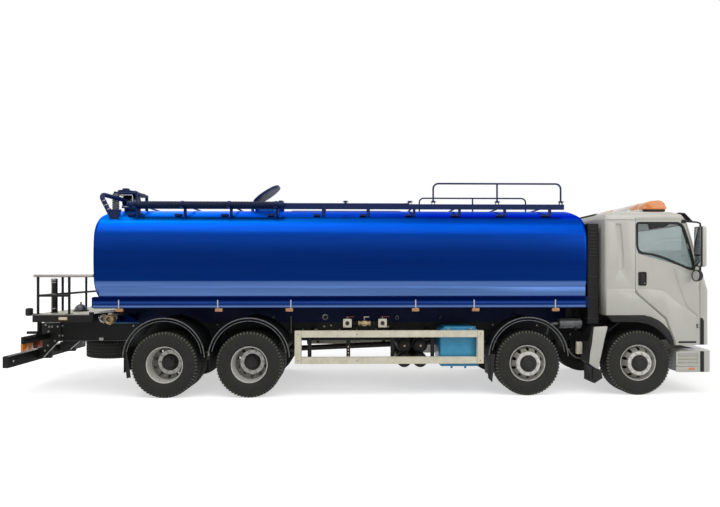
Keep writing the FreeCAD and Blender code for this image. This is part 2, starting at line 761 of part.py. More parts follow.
def side_guards():
    """Welded rectangular frames between the second and third axles, on arms from the rails."""
    pieces = []
    x0, x1 = axle_3 + 735, axle_2 - 740
    for side in (-1, 1):
        span = side_span(side, side_y - s.guard_depth, side_y)
        frame = cut("guard_frame", slab(x0, x1, *span, s.guard_bottom, s.guard_top),
                    slab(x0 + s.guard_bar, x1 - s.guard_bar, *span, s.guard_bottom + s.guard_bar,
                         s.guard_top - s.guard_bar))
        arms = [slab(x - 25, x + 25, *side_span(side, s.rail_outer_y, side_y - s.guard_depth),
                     s.guard_top - 80, s.guard_top - 30) for x in (x0 + 300, x0 + 1020, x1 - 40)]
        pieces.append(fuse("side_guard", [frame] + arms))
    node("side_guards", group("side_guards", pieces))


def chassis_tanks():
    body = slab(AUX_TANK_X - 730, AUX_TANK_X, -1090, -560, 430, 960)
    cap = slab(AUX_TANK_X - 600, AUX_TANK_X - 130, -1090, -560, 960, 990)
    node("auxiliary_tank", fuse("auxiliary_tank", [body, cap]))
    node("fuel_tank", slab(FUEL_TANK_X - 1200, FUEL_TANK_X, 520, 1090, 430, 980))
    drums = []
    for x, z in ((0, 565), (0, 815), (-270, 565), (-270, 815)):
        drums.append(cross_rod(RESERVOIR_X + x, -1060, -(s.rail_outer_y + RESERVOIR_PLATE), z, 120))
    node("air_reservoirs", group("air_reservoirs", drums))


def breathing():
    node("silencer", rod("x", axle_1 - 1260, -950, 1175, 85, 390))
    duct = slab(cab_rear - 240, cab_rear - 60, -1100, -800, 1180, 2850)
    foot = slab(cab_rear - 210, cab_rear - 90, -850, -s.rail_outer_y, 1080, 1180)
    node("air_intake", fuse("air_intake", [duct, foot]))


def bumper():
    """Front bar with a step box at each side, rounded like the cab's nose, on two arms from the rails."""
    nose = float(front_end) - float(axle_1)
    plan = add("Part::Feature", "bumper_plan")
    plan.Shape = Part.makeLoft([cab_section(z, nose, 0, 0, 0) for z in (390, 740)], True, True)
    pieces = [cut("bumper_bar", plan,
                  slab(cab_rear - 10, axle_1 + 650, -half_cab - 10, half_cab + 10, 380, 750),
                  slab(cab_rear - 10, front_end - 260, 270 - half_cab, half_cab - 270, 380, 750))]
    for side in (-1, 1):
        span = side_span(side, rail_inner_y, s.rail_outer_y)
        pieces.append(slab(rail_front - 200, front_end - 200, *span, 660, 740))
        pieces.append(slab(rail_front - 200, rail_front - 20, *span, 740, s.rail_bottom))
    node("front_bumper", fuse("front_bumper", pieces))


LAMP_X = 250        # tail lamps' rear faces, ahead of the under-run bar's rear face


def underrun_guard():
    bar = slab(rear_end, rear_end + 100, -side_y, side_y, s.underrun_bottom,
               s.underrun_bottom + s.underrun_height)
    legs = [slab(rear_end + 100, rear_end + 320, *side_span(side, rail_inner_y, s.rail_outer_y),
                 s.underrun_bottom + 30, s.rail_bottom) for side in (-1, 1)]
    brackets = [slab(rear_end + LAMP_X + 40, rear_end + LAMP_X + 60, *side_span(side, s.rail_outer_y, 1130),
                     870, s.rail_bottom + 140) for side in (-1, 1)]
    legs += [slab(rear_end + LAMP_X + 40, rear_end + 320, *side_span(side, s.rail_outer_y, s.rail_outer_y + 12),
                  s.underrun_bottom + 30, s.rail_bottom + 140) for side in (-1, 1)]
    node("underrun_guard", fuse("underrun_guard", [bar] + legs + brackets))


def spare_wheel():
    x = tank_rear - 100
    low = s.rail_bottom - s.spare_gap - s.tyre_width
    tyre = rod("z", x, 0, low, s.tyre_radius, s.tyre_width)
    hole = rod("z", x, 0, low + 60, s.bead_radius, s.tyre_width)
    cable = rod("z", x, 0, low + 40, 25, s.rail_bottom + 50 - low)
    carrier = slab(x - 60, x + 60, s.rail_plate - s.rail_outer_y, s.rail_outer_y - s.rail_plate,
                   s.rail_bottom + 60, s.rail_bottom + 110)
    node("spare_wheel", fuse("spare_wheel", [cut("spare", tyre, hole), cable, carrier]))


# ---------------------------------------------------------------- rear platform
POSTS_X = (63, 567)     # platform's posts, from its rear edge
RISER_RADIUS = 55


def rear_platform():
    x0, x1 = tank_rear - 10 - s.platform_length, tank_rear - 10
    half = s.platform_half_width
    low = platform_bottom
    rail_z = platform_top + s.platform_rail_top
    pieces = [slab(x0, x1, -half, half, low, platform_top)]
    for side in (-1, 1):
        pieces.append(slab(x0 + 40, x1 - 200, *side_span(side, rail_inner_y, s.rail_outer_y), rail_top, low))
        for x in (x0 + POSTS_X[0], x0 + POSTS_X[1]):
            pieces.append(rod("z", x, (half - 40) * side, platform_top, s.platform_tube, s.platform_rail_top))
        pieces.append(rod("x", x0 + POSTS_X[0], (half - 40) * side, platform_top + s.platform_rail_mid,
                          s.platform_tube, POSTS_X[1] - POSTS_X[0]))
        pieces.append(rod("x", x0 + 2, (half - 40) * side, rail_z, s.platform_tube, s.platform_length - 10))
        pieces.append(rod("z", x0 + POSTS_X[0], side * 400, platform_top, s.platform_tube, s.platform_rail_top))
    for z in (platform_top + s.platform_rail_mid, rail_z):
        pieces.append(cross_rod(x0 + POSTS_X[0], 40 - half, half - 40, z, s.platform_tube))
    node("rear_platform", fuse("rear_platform", pieces))


OUTLETS_X = (axle_3 + 1595, axle_3 + 2175)
OUTLET_DEPTH = 70


def water_pipework():
    """Riser on the platform, two side outlets joined by their valve's pipe, and a rear coupling."""
    riser_x = tank_rear - 10 - s.platform_length + POSTS_X[0] + s.platform_tube + RISER_RADIUS + 17
    riser = rod("z", riser_x, -820, platform_top, RISER_RADIUS, 580)
    mouth = side_y - 70
    z = rail_top + 52
    rear_x, front_x = OUTLETS_X
    seat = rear_x + 190     # valve's rear face, where the rear outlet's pipe ends
    valve = slab(seat, seat + 200, 150 - mouth, 270 - mouth, z - 50, z + 50)
    outlets = []
    for x, start, end, fitting in ((rear_x, rear_x, seat, []), (front_x, seat + 100, front_x, [valve])):
        body = fuse("outlet", fitting + [
            slab(x - 65, x + 65, -mouth, 130 - mouth, z - 65, z + 65),
            slab(x - 35, x + 35, 130 - mouth, -s.rail_outer_y, z - 35, z + 35),
            rod("x", start, 170 - mouth, z, 32, end - start)])
        outlets.append(cut("side_outlet", body, cross_rod(x, -mouth - 1, OUTLET_DEPTH - mouth, z,
                                                          s.outlet_radius)))
    x, z = tank_rear + 220, rail_top + 127
    rear = cut("rear_outlet", fuse("rear_pipe", [cross_rod(x, -side_y + 60, -side_y + 220, z, 90),
                                                 cross_rod(x, -side_y + 210, -s.rail_outer_y, z, 60)]),
               cross_rod(x, -side_y + 59, -side_y + 160, z, s.outlet_radius))
    node("water_pipework", group("water_pipework", [riser, rear] + outlets))


MARKER_SHARES = (0.0545, 0.252, 0.393, 0.647, 0.769, 0.932)   # along the tank, from its rear end


def lamps():
    """Amber side markers under the trays, and tail lamps on the under-run guard's brackets."""
    pieces = []
    for side in (-1, 1):
        for share in MARKER_SHARES:
            x = tank_rear + s.tank_length * share
            pieces.append(slab(x - 60, x + 60, *side_span(side, side_y - 30, side_y), tray_bottom - 65,
                               tray_bottom))
        pieces.append(slab(rear_end + LAMP_X, rear_end + LAMP_X + 40, *side_span(side, 590, 1140), 740, 985))
    node("lamps", group("lamps", pieces))


# ---------------------------------------------------------------- wheels
RIM_BARREL = 16


def tyre(x, y):
    half = s.tyre_width * 0.5
    bead = s.rim_width * 0.5 - 14
    wall = (s.tyre_radius + s.rim_radius) * 0.5
    lip = s.rim_radius + 1
    corners = [(bead * -1, s.bead_radius), (bead, s.bead_radius), (bead, lip), (half - 20, lip + 36),
               (half, wall), (half - 12, s.tyre_radius - 40), (half - 40, s.tyre_radius),
               (40 - half, s.tyre_radius), (12 - half, s.tyre_radius - 40), (half * -1, wall),
               (20 - half, lip + 36), (bead * -1, lip)]
    return turned(corners, x, y, s.tyre_radius)


def rim(x, y, outward):
    """Barrel with a dished disc; outward is the side of its bolting face, +1 or -1 along Y."""
    half = s.rim_width * 0.5
    seat = s.bead_radius - 0.3
    well = s.bead_radius - RIM_BARREL
    face = s.disc_offset
    corners = [(half * -1, s.rim_radius), (14 - half, s.rim_radius), (14 - half, seat), (half - 14, seat),
               (half - 14, s.rim_radius), (half, s.rim_radius), (half, well), (60, well),
               (face - 12, 215), (face, 205), (face, s.hub_radius), (face - 12, s.hub_radius),
               (face - 12, 195), (44, well), (half * -1, well)]
    if outward < 0:
        corners = [(as_size(across) * -1, radius) for across, radius in reversed(corners)]
    return turned(corners, x, y, s.tyre_radius)


def steered_wheel(place_name, x, side):
    y = s.front_wheel_y * side
    node(f"tyre_{place_name}", tyre(x, y))
    disc = s.front_wheel_y + s.disc_offset
    hub = cross_rod(x, *side_span(side, disc - 200, disc + 45), s.tyre_radius, s.hub_radius)
    bore = cross_rod(x, *side_span(side, disc - 210, disc - 20), s.tyre_radius,
                     s.spindle_radius + s.running_gap)
    node(f"rim_{place_name}", cut("rim", fuse("rim_solid", [rim(x, y, side), hub]), bore))


def twin_wheel(place_name, x, side):
    outer = (s.twin_y + twin_half) * side
    inner = (s.twin_y - twin_half) * side
    node(f"tyres_{place_name}", group("twin_tyres", [tyre(x, outer), tyre(x, inner)]))
    hub = cross_rod(x, *side_span(side, twin_hub_y, s.twin_y + 130), s.tyre_radius, s.hub_radius)
    bore = cross_rod(x, *side_span(side, twin_hub_y - 10, s.twin_y + 116), s.tyre_radius,
                     s.spindle_radius + s.running_gap)
    rims = fuse("twin_rims", [rim(x, outer, -side), rim(x, inner, side), hub])
    node(f"rims_{place_name}", cut("rims", rims, bore))


def knuckle(place_name, x, side):
    """Forked knuckle round the beam's boss, with its kingpin, spindle and steering arm."""
    z = s.tyre_radius
    pin_y = s.kingpin_y * side
    disc = s.front_wheel_y + s.disc_offset
    pieces = [rod("z", x, pin_y, z - 105, s.kingpin_radius, 210)]
    for low in (z - 105, z + 67):
        pieces.append(rod("z", x, pin_y, low, 45, 38))
        pieces.append(slab(x - 40, x + 40, *side_span(side, s.kingpin_y, s.kingpin_y + 92), low, low + 38))
    pieces.append(slab(x - 50, x + 50, *side_span(side, s.kingpin_y + 56, s.kingpin_y + 92), z - 105, z + 105))
    pieces.append(cross_rod(x, *side_span(side, s.kingpin_y + 80, disc - 25), z, s.spindle_radius))
    node(f"knuckle_{place_name}", fuse("knuckle", pieces))


def wheels():
    sides = (("right", -1), ("left", 1))
    for axle_name, x in (("first", axle_1), ("second", axle_2)):
        for side_name, side in sides:
            steered_wheel(f"{axle_name}_{side_name}", x, side)
            knuckle(f"{axle_name}_{side_name}", x, side)
    for axle_name, x in (("third", axle_3), ("fourth", axle_4)):
        for side_name, side in sides:
            twin_wheel(f"{axle_name}_{side_name}", x, side)


# ---------------------------------------------------------------- cab
CAB_LEVELS = [
    # height, front's distance ahead of the first axle, loss of half width, loss at the rear
    (840, s.cab_front, 0, 0),
    (1750, s.cab_front, 0, 0),
    (2050, s.cab_front - 100, 0, 0),
    (2900, s.cab_front - 360, 0, 0),
    (3000, s.cab_front - 430, 30, 10),
    (3050, s.cab_front - 530, 120, 80),
]
FIT_GAP = 0.3       # dashboard to the front wall
FRONT_BULGE = 110
FRONT_CORNER = 160


def cab_section(height, ahead, narrowing, rear_loss, inset):
    """Plan outline at one height, moved inwards by the inset."""
    half = float(half_cab) - narrowing - inset
    front = float(axle_1) + float(ahead) - inset
    rear = float(cab_rear) + rear_loss + inset
    corner = FRONT_CORNER - inset * 0.5
    shoulder = front - FRONT_BULGE
    turn = corner * (1 - math.sqrt(0.5))
    arc_ends = []
    for side in (-1, 1):
        flank = Vector(shoulder - corner, side * half, height)
        knee = Vector(shoulder - turn, side * (half - turn), height)
        brow = Vector(shoulder, side * (half - corner), height)
        arc_ends.append((flank, knee, brow))
    (flank_r, knee_r, brow_r), (flank_l, knee_l, brow_l) = arc_ends
    rear_r = Vector(rear, -half, height)
    rear_l = Vector(rear, half, height)
    return Part.Wire([
        Part.LineSegment(rear_r, flank_r).toShape(),
        Part.Arc(flank_r, knee_r, brow_r).toShape(),
        Part.Arc(brow_r, Vector(front, 0, height), brow_l).toShape(),
        Part.Arc(brow_l, knee_l, flank_l).toShape(),
        Part.LineSegment(flank_l, rear_l).toShape(),
        Part.LineSegment(rear_l, rear_r).toShape(),
    ])


def cab_solid(name, inset, floor):
    """Ruled solid through the levels above the floor, moved inwards by the inset."""
    inset = float(inset)
    sections = []
    for height, ahead, narrowing, rear_loss in CAB_LEVELS:
        level = min(height, float(s.cab_roof) - inset)
        if height == CAB_LEVELS[0][0]:
            level = float(floor)
        sections.append(cab_section(level, ahead, narrowing, rear_loss, inset))
    item = add("Part::Feature", name)
    item.Shape = Part.makeLoft(sections, True, True)
    return item


DOOR_FRONT = 990
PILLAR_CLEARANCE = 4       # door gaps by which the opening's upper front corner lies higher


def door_outline(grow):
    """Door's edge in X and Z; grow widens it into the opening."""
    return [(axle_1 - 80 - grow, 2930 + grow), (axle_1 - 80 - grow, 1715 - grow), (axle_1 - 30, 1660 - grow),
            (axle_1 + 417 - grow, 1280 - grow), (axle_1 + 560 - grow, 900),
            (axle_1 + 560 - grow, s.cab_skirt_bottom - 20),
            (axle_1 + DOOR_FRONT + grow, s.cab_skirt_bottom - 20),
            (axle_1 + DOOR_FRONT + grow, 2050 + grow * PILLAR_CLEARANCE),
            (axle_1 + 745 + grow * 2, 2930 + grow)]


def window_outline(grow):
    x = axle_1
    return [(x + 690 + grow, 2850 + grow), (x + 910 + grow * 1.2, 2080 - grow), (x - 40 - grow, 2345 - grow),
            (x - 40 - grow, 2850 + grow)]


def half_prism(corners, side):
    return side_plate(corners, *side_span(side, 700, 1500))


def hinge_place():
    """X of the doors' vertical hinge line, and its distance from the middle."""
    return axle_1 + DOOR_FRONT - s.door_hinge_inset, half_cab - s.door_hinge_inset


HINGE_HEIGHTS = (1150, 1800)


def cab_shell(outer, inner, core):
    """Hollow cab with floor, engine tunnel, windows and door openings."""
    tunnel = slab(cab_rear - 50, axle_1 + 800, -s.tunnel_half_width, s.tunnel_half_width, 1200, s.tunnel_top)
    room = cut("room", inner, tunnel)
    under = common("under", core, slab(cab_rear - 50, front_end, -half_cab, half_cab, 700, s.cab_floor_bottom))
    under_tunnel = slab(cab_rear - 50, axle_1 + 760, 40 - s.tunnel_half_width, s.tunnel_half_width - 40,
                        1200, s.tunnel_top - 40)
    arch = side_plate([(cab_rear - 50, 700), (cab_rear - 50, s.cab_floor_bottom), (axle_1 + 70, s.cab_floor_bottom),
                       (axle_1 + 300, 1240), (axle_1 + 470, 1100), (axle_1 + 560, 950), (axle_1 + 585, 800),
                       (axle_1 + 585, 700)], -80 - half_cab, half_cab + 80)
    windscreen = side_plate([(axle_1 + 700, 2120), (axle_1 + 1400, 2060), (axle_1 + 1400, 2860),
                             (axle_1 + 700, 2860)], 160 - half_cab, half_cab - 160)
    rear_light = slab(cab_rear - 50, cab_rear + 100, -550, 550, 2250, 2650)
    tools = [room, under, under_tunnel, arch, windscreen, rear_light]
    for side in (-1, 1):
        tools.append(half_prism(door_outline(s.door_gap), side))
    shell = cut("cab_hollow", outer, *tools)
    x, y = hinge_place()
    extra = []
    pivot = axle_1 + s.pivot_x
    for side in (-1, 1):
        for z in HINGE_HEIGHTS:
            extra.append(rod("z", x, y * side, z - 70, s.door_pin, 140))
            extra.append(slab(x - 8, x + 60, *side_span(side, y - 14, y + 8), z - 25, z + 25))
        extra.append(slab(pivot - 40, pivot + 100, *side_span(side, s.rail_outer_y + 8, s.rail_outer_y + 68),
                          s.pivot_z - 40, s.pivot_z + 40))
    solid = fuse("cab_joined", [shell] + extra)
    bores = [cross_rod(pivot, *side_span(side, s.rail_outer_y, s.rail_outer_y + 100), s.pivot_z,
                       s.pivot_pin + s.running_gap) for side in (-1, 1)]
    beyond = cut("cab_trimmed", solid, group("pivot_bores", bores))
    node("cab_shell", common("cab_shell", beyond, outer))
    return windscreen


def doors(wall):
    x, y = hinge_place()
    for side_name, side in (("right", -1), ("left", 1)):
        leaf = common("leaf", wall, half_prism(door_outline(0), side))
        tools = [half_prism(window_outline(0), side)]
        for z in HINGE_HEIGHTS:
            tools.append(slab(x - 40, x + 60, *side_span(side, y - 60, y + 40), z - 32, z + 32))
            tools.append(rod("z", x, y * side, z - 75, s.door_pin + s.running_gap, 150))
        node(f"door_{side_name}", cut("door", leaf, *tools))


def glazing(glass_wall, windscreen):
    pane = common("screen", glass_wall, windscreen)
    node("windscreen", pane)
    for side_name, side in (("right", -1), ("left", 1)):
        node(f"door_glass_{side_name}", common("pane", glass_wall, half_prism(window_outline(0), side)))


def cab_inside(room):
    """Seats on the floor, and a dashboard whose bearer seats on the front wall."""
    floor = s.cab_floor_bottom + s.cab_wall
    seats = []
    for side in (-1, 1):
        x = axle_1
        seats.append(fuse("seat", [
            slab(x - 180, x + 220, *side_span(side, seat_inner_y + 20, seat_outer_y - 20), floor, 1720),
            slab(x - 240, x + 300, *side_span(side, seat_inner_y, seat_outer_y), 1720, 1860),
            side_plate([(x - 340, 1780), (x - 200, 1780), (x - 300, 2480), (x - 420, 2480)],
                       *side_span(side, seat_inner_y + 10, seat_outer_y - 10))]))
    node("seats", group("seats", seats))
    reach = half_cab - s.cab_wall - 130
    board = side_plate([(axle_1 + 820, 1640), (axle_1 + 1060, 1540), (axle_1 + 1100, 1800),
                        (axle_1 + 1060, 2020), (axle_1 + 860, 2020), (axle_1 + 800, 1900)], -reach, reach)
    bearer = slab(axle_1 + 1000, axle_1 + 1300, -600, 600, 1700, 1780)
    inside = common("dashboard_solid", fuse("dashboard_joined", [board, bearer]), room)
    node("dashboard", cut("dashboard", inside, shaft_bore()))


WHEEL_X, WHEEL_Z = 600, 2060      # X from the first axle
WHEEL_Y = (seat_inner_y + seat_outer_y) * 0.5      # the driver sits on the left
WHEEL_TILT = FreeCAD.Rotation(Vector(0, 1, 0), -35)
SHAFT_RADIUS = 16
SHAFT_LENGTH = 450


def steering_wheel():
    """Rim, hub and spokes on a shaft that turns in the dashboard."""
    ring = bind(add("Part::Torus", "ring"), Radius1=225, Radius2=15)
    hub = rod("z", 0, 0, -40, 45, 50)
    shaft = rod("z", 0, 0, -SHAFT_LENGTH, SHAFT_RADIUS, SHAFT_LENGTH)
    spokes = [rod("y", 0, -222, -5, 11, 444), rod("x", -222, 0, -5, 11, 222)]
    wheel = fuse("steering_wheel", [ring, hub, shaft] + spokes)
    node("steering_wheel", place(wheel, axle_1 + WHEEL_X, WHEEL_Y, WHEEL_Z, WHEEL_TILT))


def shaft_bore():
    bore = group("shaft_bore", [rod("z", 0, 0, -SHAFT_LENGTH - 1, SHAFT_RADIUS + s.running_gap, SHAFT_LENGTH)])
    return place(bore, axle_1 + WHEEL_X, WHEEL_Y, WHEEL_Z, WHEEL_TILT)


def mirrors(outer):
    """Tall mirror with a small one below it, on an arm that meets the door at both ends."""
    x = axle_1
    for side_name, side in (("right", -1), ("left", 1)):
        y = float(half_cab) + 145
        tall = slab(x + 850, x + 950, *side_span(side, half_cab + 60, half_cab + 230), 2130, 2780)
        low = slab(x + 820, x + 925, *side_span(side, half_cab + 60, half_cab + 220), 1880, 2085)
        arm = tube([(x + 640, side * (y - 205), 2895), (x + 900, side * y, 2850), (x + 900, side * y, 2050),
                    (x + 930, side * (y - 205), 1990)], 30, 14)
        node(f"mirror_{side_name}", cut("mirror", fuse("mirror_joined", [tall, low, arm]), outer))


def light_bar():
    x = axle_1 + 478
    bar = slab(x - 170, x + 170, -870, 870, s.cab_roof + 35, s.cab_roof + 195)
    feet = [slab(x - 40, x + 40, y - 40, y + 40, s.cab_roof, s.cab_roof + 35) for y in (-600, 600)]
    node("light_bar", fuse("light_bar", [bar] + feet))


# ---------------------------------------------------------------- build and write
def build():
    barrel = tank_body()
    tank_shell(barrel)
    manhole_lid()
    tank_subframe(barrel)
    walkway(barrel)
    guard_rail("guard_rail_front_right", FRONT_GUARD_X, -1, False)
    guard_rail("guard_rail_front_left", FRONT_GUARD_X, 1, False)
    guard_rail("guard_rail_rear_right", REAR_GUARD_X, -1, True)
    guard_rail("guard_rail_rear_left", REAR_GUARD_X, 1, True)
    suction_hose()
    rear_ladder(barrel, top_pump(barrel))
    chassis_frame()
    powertrain()
    axles()
    leaf_springs()
    mudguards()
    side_guards()
    chassis_tanks()
    breathing()
    bumper()
    underrun_guard()
    spare_wheel()
    rear_platform()
    water_pipework()
    lamps()
    wheels()
    outer = cab_solid("cab_outer", 0, s.cab_skirt_bottom)
    inner = cab_solid("cab_inner", s.cab_wall, s.cab_floor_bottom + s.cab_wall)
    core = cab_solid("cab_core", s.cab_wall, s.cab_skirt_bottom - 50)
    screen = cab_shell(outer, inner, core)
    doors(cut("wall", outer, core))
    glass = cut("glass_wall", cab_solid("glass_out", 15, s.cab_skirt_bottom),
                cab_solid("glass_in", 15 + float(s.glass_thickness), s.cab_skirt_bottom - 50))
    glazing(glass, screen)
    cab_inside(cab_solid("cab_room", float(s.cab_wall) + FIT_GAP, s.cab_floor_bottom + s.cab_wall))
    steering_wheel()
    mirrors(outer)
    light_bar()


def write():
    doc.recompute()
    for item in doc.Objects:
        if {"Invalid", "Error"} & set(item.State):
            raise RuntimeError(f"{item.Label} ({item.Name}) failed: {item.State}")
    os.makedirs("parts", exist_ok=True)
    for item in NODES:
        if item.Shape.isNull() or not item.Shape.isValid() or not item.Shape.Solids:
            raise RuntimeError(f"{item.Label} has no valid solid")
    for item in NODES:
        item.Shape.exportStep(f"parts/{item.Label}.step")
        print(item.Label, len(item.Shape.Solids), round(item.Shape.Volume / 1e6, 2))


build()
write()
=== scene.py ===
"""Looks of the four-axle tanker truck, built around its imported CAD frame.  Metres; right side is -Y."""
import math

import bmesh
import bpy
from mathutils import Matrix, Vector


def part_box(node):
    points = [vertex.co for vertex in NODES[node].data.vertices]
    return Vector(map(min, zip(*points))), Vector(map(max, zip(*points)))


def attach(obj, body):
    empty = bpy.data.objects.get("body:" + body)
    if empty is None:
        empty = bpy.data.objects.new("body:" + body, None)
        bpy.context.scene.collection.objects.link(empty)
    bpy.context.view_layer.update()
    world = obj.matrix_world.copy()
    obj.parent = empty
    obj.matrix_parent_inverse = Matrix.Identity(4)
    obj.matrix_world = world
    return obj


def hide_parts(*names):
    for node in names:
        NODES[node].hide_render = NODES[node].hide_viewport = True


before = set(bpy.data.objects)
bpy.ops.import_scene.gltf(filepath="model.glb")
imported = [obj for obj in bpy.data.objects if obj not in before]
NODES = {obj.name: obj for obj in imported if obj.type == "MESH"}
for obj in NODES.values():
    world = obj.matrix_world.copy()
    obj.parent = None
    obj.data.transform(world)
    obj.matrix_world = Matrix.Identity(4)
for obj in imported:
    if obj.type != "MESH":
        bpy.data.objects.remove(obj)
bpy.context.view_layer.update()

SIDES = (("right", -1), ("left", 1))

# ---------------------------------------------------------------- finishes
# name: colour, second colour, roughness, metallic, coat, mottle size per metre, mottle share, bump, specular level
FINISHES = {
    "tank_blue": ((0.001, 0.024, 0.170), (0.001, 0.019, 0.145), 0.30, 1.0, 0.0, 1.6, 0.5, 0.006, 0.5),
    "tray_blue": ((0.001, 0.024, 0.170), (0.001, 0.019, 0.145), 0.28, 1.0, 0.0, 1.6, 0.5, 0.006, 0.5),
    "beam_blue": ((0.001, 0.008, 0.052), (0.001, 0.005, 0.036), 0.50, 0.0, 0.0, 6.0, 0.5, 0.03, 0.15),
    # the cab's white is darkened all over to a light grey: painted shade of its shaded side
    "cab_white_painted_shade": ((0.50, 0.49, 0.445), (0.465, 0.455, 0.41), 0.30, 0.0, 0.4, 2.0, 0.3, 0.01, 0.4),
    "frame_black": ((0.004, 0.0045, 0.0045), (0.012, 0.012, 0.011), 0.52, 0.0, 0.0, 14.0, 0.6, 0.06, 0.2),
    "navy_steel": ((0.001, 0.008, 0.058), (0.003, 0.014, 0.076), 0.42, 0.0, 0.0, 18.0, 0.5, 0.05, 0.22),
    "wheel_silver": ((0.68, 0.67, 0.63), (0.50, 0.48, 0.44), 0.42, 0.35, 0.0, 22.0, 0.5, 0.05, 0.5),
    # darker finish of the rims' dishes: painted shade of the recess, with some dust
    "wheel_dust_and_shade": ((0.27, 0.26, 0.23), (0.13, 0.125, 0.11), 0.55, 0.20, 0.0, 22.0, 0.5, 0.08, 0.4),
    "cast_iron": ((0.014, 0.013, 0.012), (0.040, 0.036, 0.030), 0.60, 0.2, 0.0, 30.0, 0.6, 0.15, 0.3),
    "tread_edge": ((0.150, 0.150, 0.125), (0.070, 0.070, 0.056), 0.80, 0.0, 0.0, 40.0, 0.6, 0.10, 0.3),
    "tyre_rubber": ((0.010, 0.0105, 0.0085), (0.024, 0.024, 0.018), 0.72, 0.0, 0.0, 12.0, 0.6, 0.10, 0.3),
    "hose_rubber": ((0.001, 0.005, 0.030), (0.004, 0.011, 0.046), 0.60, 0.0, 0.0, 25.0, 0.5, 0.10, 0.3),
    "guard_cream": ((0.76, 0.72, 0.58), (0.64, 0.59, 0.45), 0.45, 0.0, 0.1, 8.0, 0.4, 0.03, 0.4),
    "sky_blue": ((0.040, 0.330, 0.560), (0.026, 0.250, 0.460), 0.36, 0.0, 0.3, 6.0, 0.5, 0.03, 0.35),
    "plastic_black": ((0.010, 0.010, 0.010), (0.018, 0.018, 0.017), 0.52, 0.0, 0.0, 40.0, 0.5, 0.06, 0.22),
    "bare_steel": ((0.36, 0.35, 0.33), (0.24, 0.22, 0.20), 0.36, 0.8, 0.0, 16.0, 0.5, 0.04, 0.5),
    "deck_steel": ((0.42, 0.40, 0.33), (0.30, 0.28, 0.22), 0.50, 0.3, 0.0, 9.0, 0.6, 0.05, 0.4),
    "cloth_grey": ((0.055, 0.055, 0.060), (0.080, 0.078, 0.080), 0.90, 0.0, 0.0, 60.0, 0.6, 0.15, 0.2),
    "amber_lens": ((0.75, 0.24, 0.02), (0.60, 0.15, 0.01), 0.22, 0.0, 0.6, 30.0, 0.4, 0.03, 0.5),
    "red_lens": ((0.50, 0.02, 0.01), (0.35, 0.01, 0.01), 0.22, 0.0, 0.6, 30.0, 0.4, 0.03, 0.5),
    "clear_lens": ((0.62, 0.60, 0.56), (0.50, 0.48, 0.44), 0.12, 0.1, 0.8, 30.0, 0.4, 0.03, 0.6),
    "mirror_glass": ((0.70, 0.72, 0.74), (0.62, 0.64, 0.66), 0.04, 1.0, 0.0, 2.0, 0.2, 0.0, 0.5),
    "seal_rubber": ((0.008, 0.008, 0.008), (0.015, 0.015, 0.015), 0.65, 0.0, 0.0, 30.0, 0.4, 0.05, 0.3),
    "edge_steel": ((0.16, 0.165, 0.17), (0.08, 0.085, 0.09), 0.38, 0.5, 0.0, 20.0, 0.5, 0.04, 0.4),
    "brass": ((0.42, 0.33, 0.20), (0.30, 0.22, 0.12), 0.36, 0.8, 0.0, 26.0, 0.5, 0.05, 0.5),
    "handle_red": ((0.36, 0.07, 0.03), (0.26, 0.05, 0.025), 0.45, 0.0, 0.2, 26.0, 0.5, 0.04, 0.4),
    "marker_amber": ((0.56, 0.27, 0.115), (0.46, 0.19, 0.07), 0.26, 0.0, 0.5, 34.0, 0.5, 0.03, 0.5),
}

# height and colour of the painted reflections and highlights on the tank's sides, from the lower edge up: a pale
# band of reflected ground, darker reflected surroundings and an azure highlight at the crown
SHELL_REFLECTION_ROWS = [
    (1.500, (0.000, 0.004, 0.040)), (1.588, (0.000, 0.006, 0.050)), (1.596, (0.060, 0.125, 0.320)),
    (1.660, (0.088, 0.172, 0.405)), (1.760, (0.080, 0.158, 0.380)), (1.860, (0.070, 0.135, 0.345)),
    (1.893, (0.040, 0.095, 0.265)), (1.900, (0.002, 0.021, 0.137)), (2.200, (0.0018, 0.018, 0.133)),
    (2.370, (0.0025, 0.022, 0.155)), (2.470, (0.003, 0.030, 0.205)), (2.580, (0.004, 0.040, 0.270)),
    (2.690, (0.003, 0.044, 0.300)), (2.780, (0.0025, 0.050, 0.345)), (2.840, (0.002, 0.078, 0.450)),
    (2.880, (0.002, 0.140, 0.640)), (2.950, (0.010, 0.240, 0.800)), (3.030, (0.022, 0.380, 0.950)),
    (3.080, (0.020, 0.260, 0.800)), (3.130, (0.014, 0.110, 0.400)),
]
# painted reflections for the front part of the tank, darker low down and at the crown
FRONT_REFLECTION_ROWS = [(level, tuple(share * (0.80 if level < 1.8 else 1) for share in colour))
              for level, colour in SHELL_REFLECTION_ROWS if level < 2.6] + [
    (2.690, (0.0015, 0.034, 0.255)), (2.780, (0.001, 0.038, 0.280)), (2.880, (0.001, 0.050, 0.350)),
    (2.960, (0.002, 0.070, 0.430)), (3.050, (0.004, 0.090, 0.500)), (3.130, (0.014, 0.085, 0.340)),
]
# height and colour of the trays' painted highlight lines and painted dark reflection bands, from the lower edge up
TRAY_HIGHLIGHT_ROWS = [
    (1.439, (0.001, 0.004, 0.030)), (1.452, (0.001, 0.006, 0.035)), (1.464, (0.020, 0.045, 0.130)),
    (1.472, (0.060, 0.105, 0.250)), (1.486, (0.119, 0.188, 0.392)), (1.499, (0.040, 0.085, 0.250)),
    (1.508, (0.012, 0.035, 0.140)), (1.521, (0.003, 0.019, 0.127)), (1.540, (0.014, 0.045, 0.215)),
    (1.553, (0.019, 0.053, 0.231)), (1.570, (0.002, 0.014, 0.095)), (1.586, (0.000, 0.006, 0.055)),
    (1.612, (0.000, 0.004, 0.042)), (1.640, (0.000, 0.008, 0.060)),
]
# the front rows of painted reflections take over from the other ones between these places along the tank
ROWS_REAR, ROWS_FRONT = -3.6, 1.2


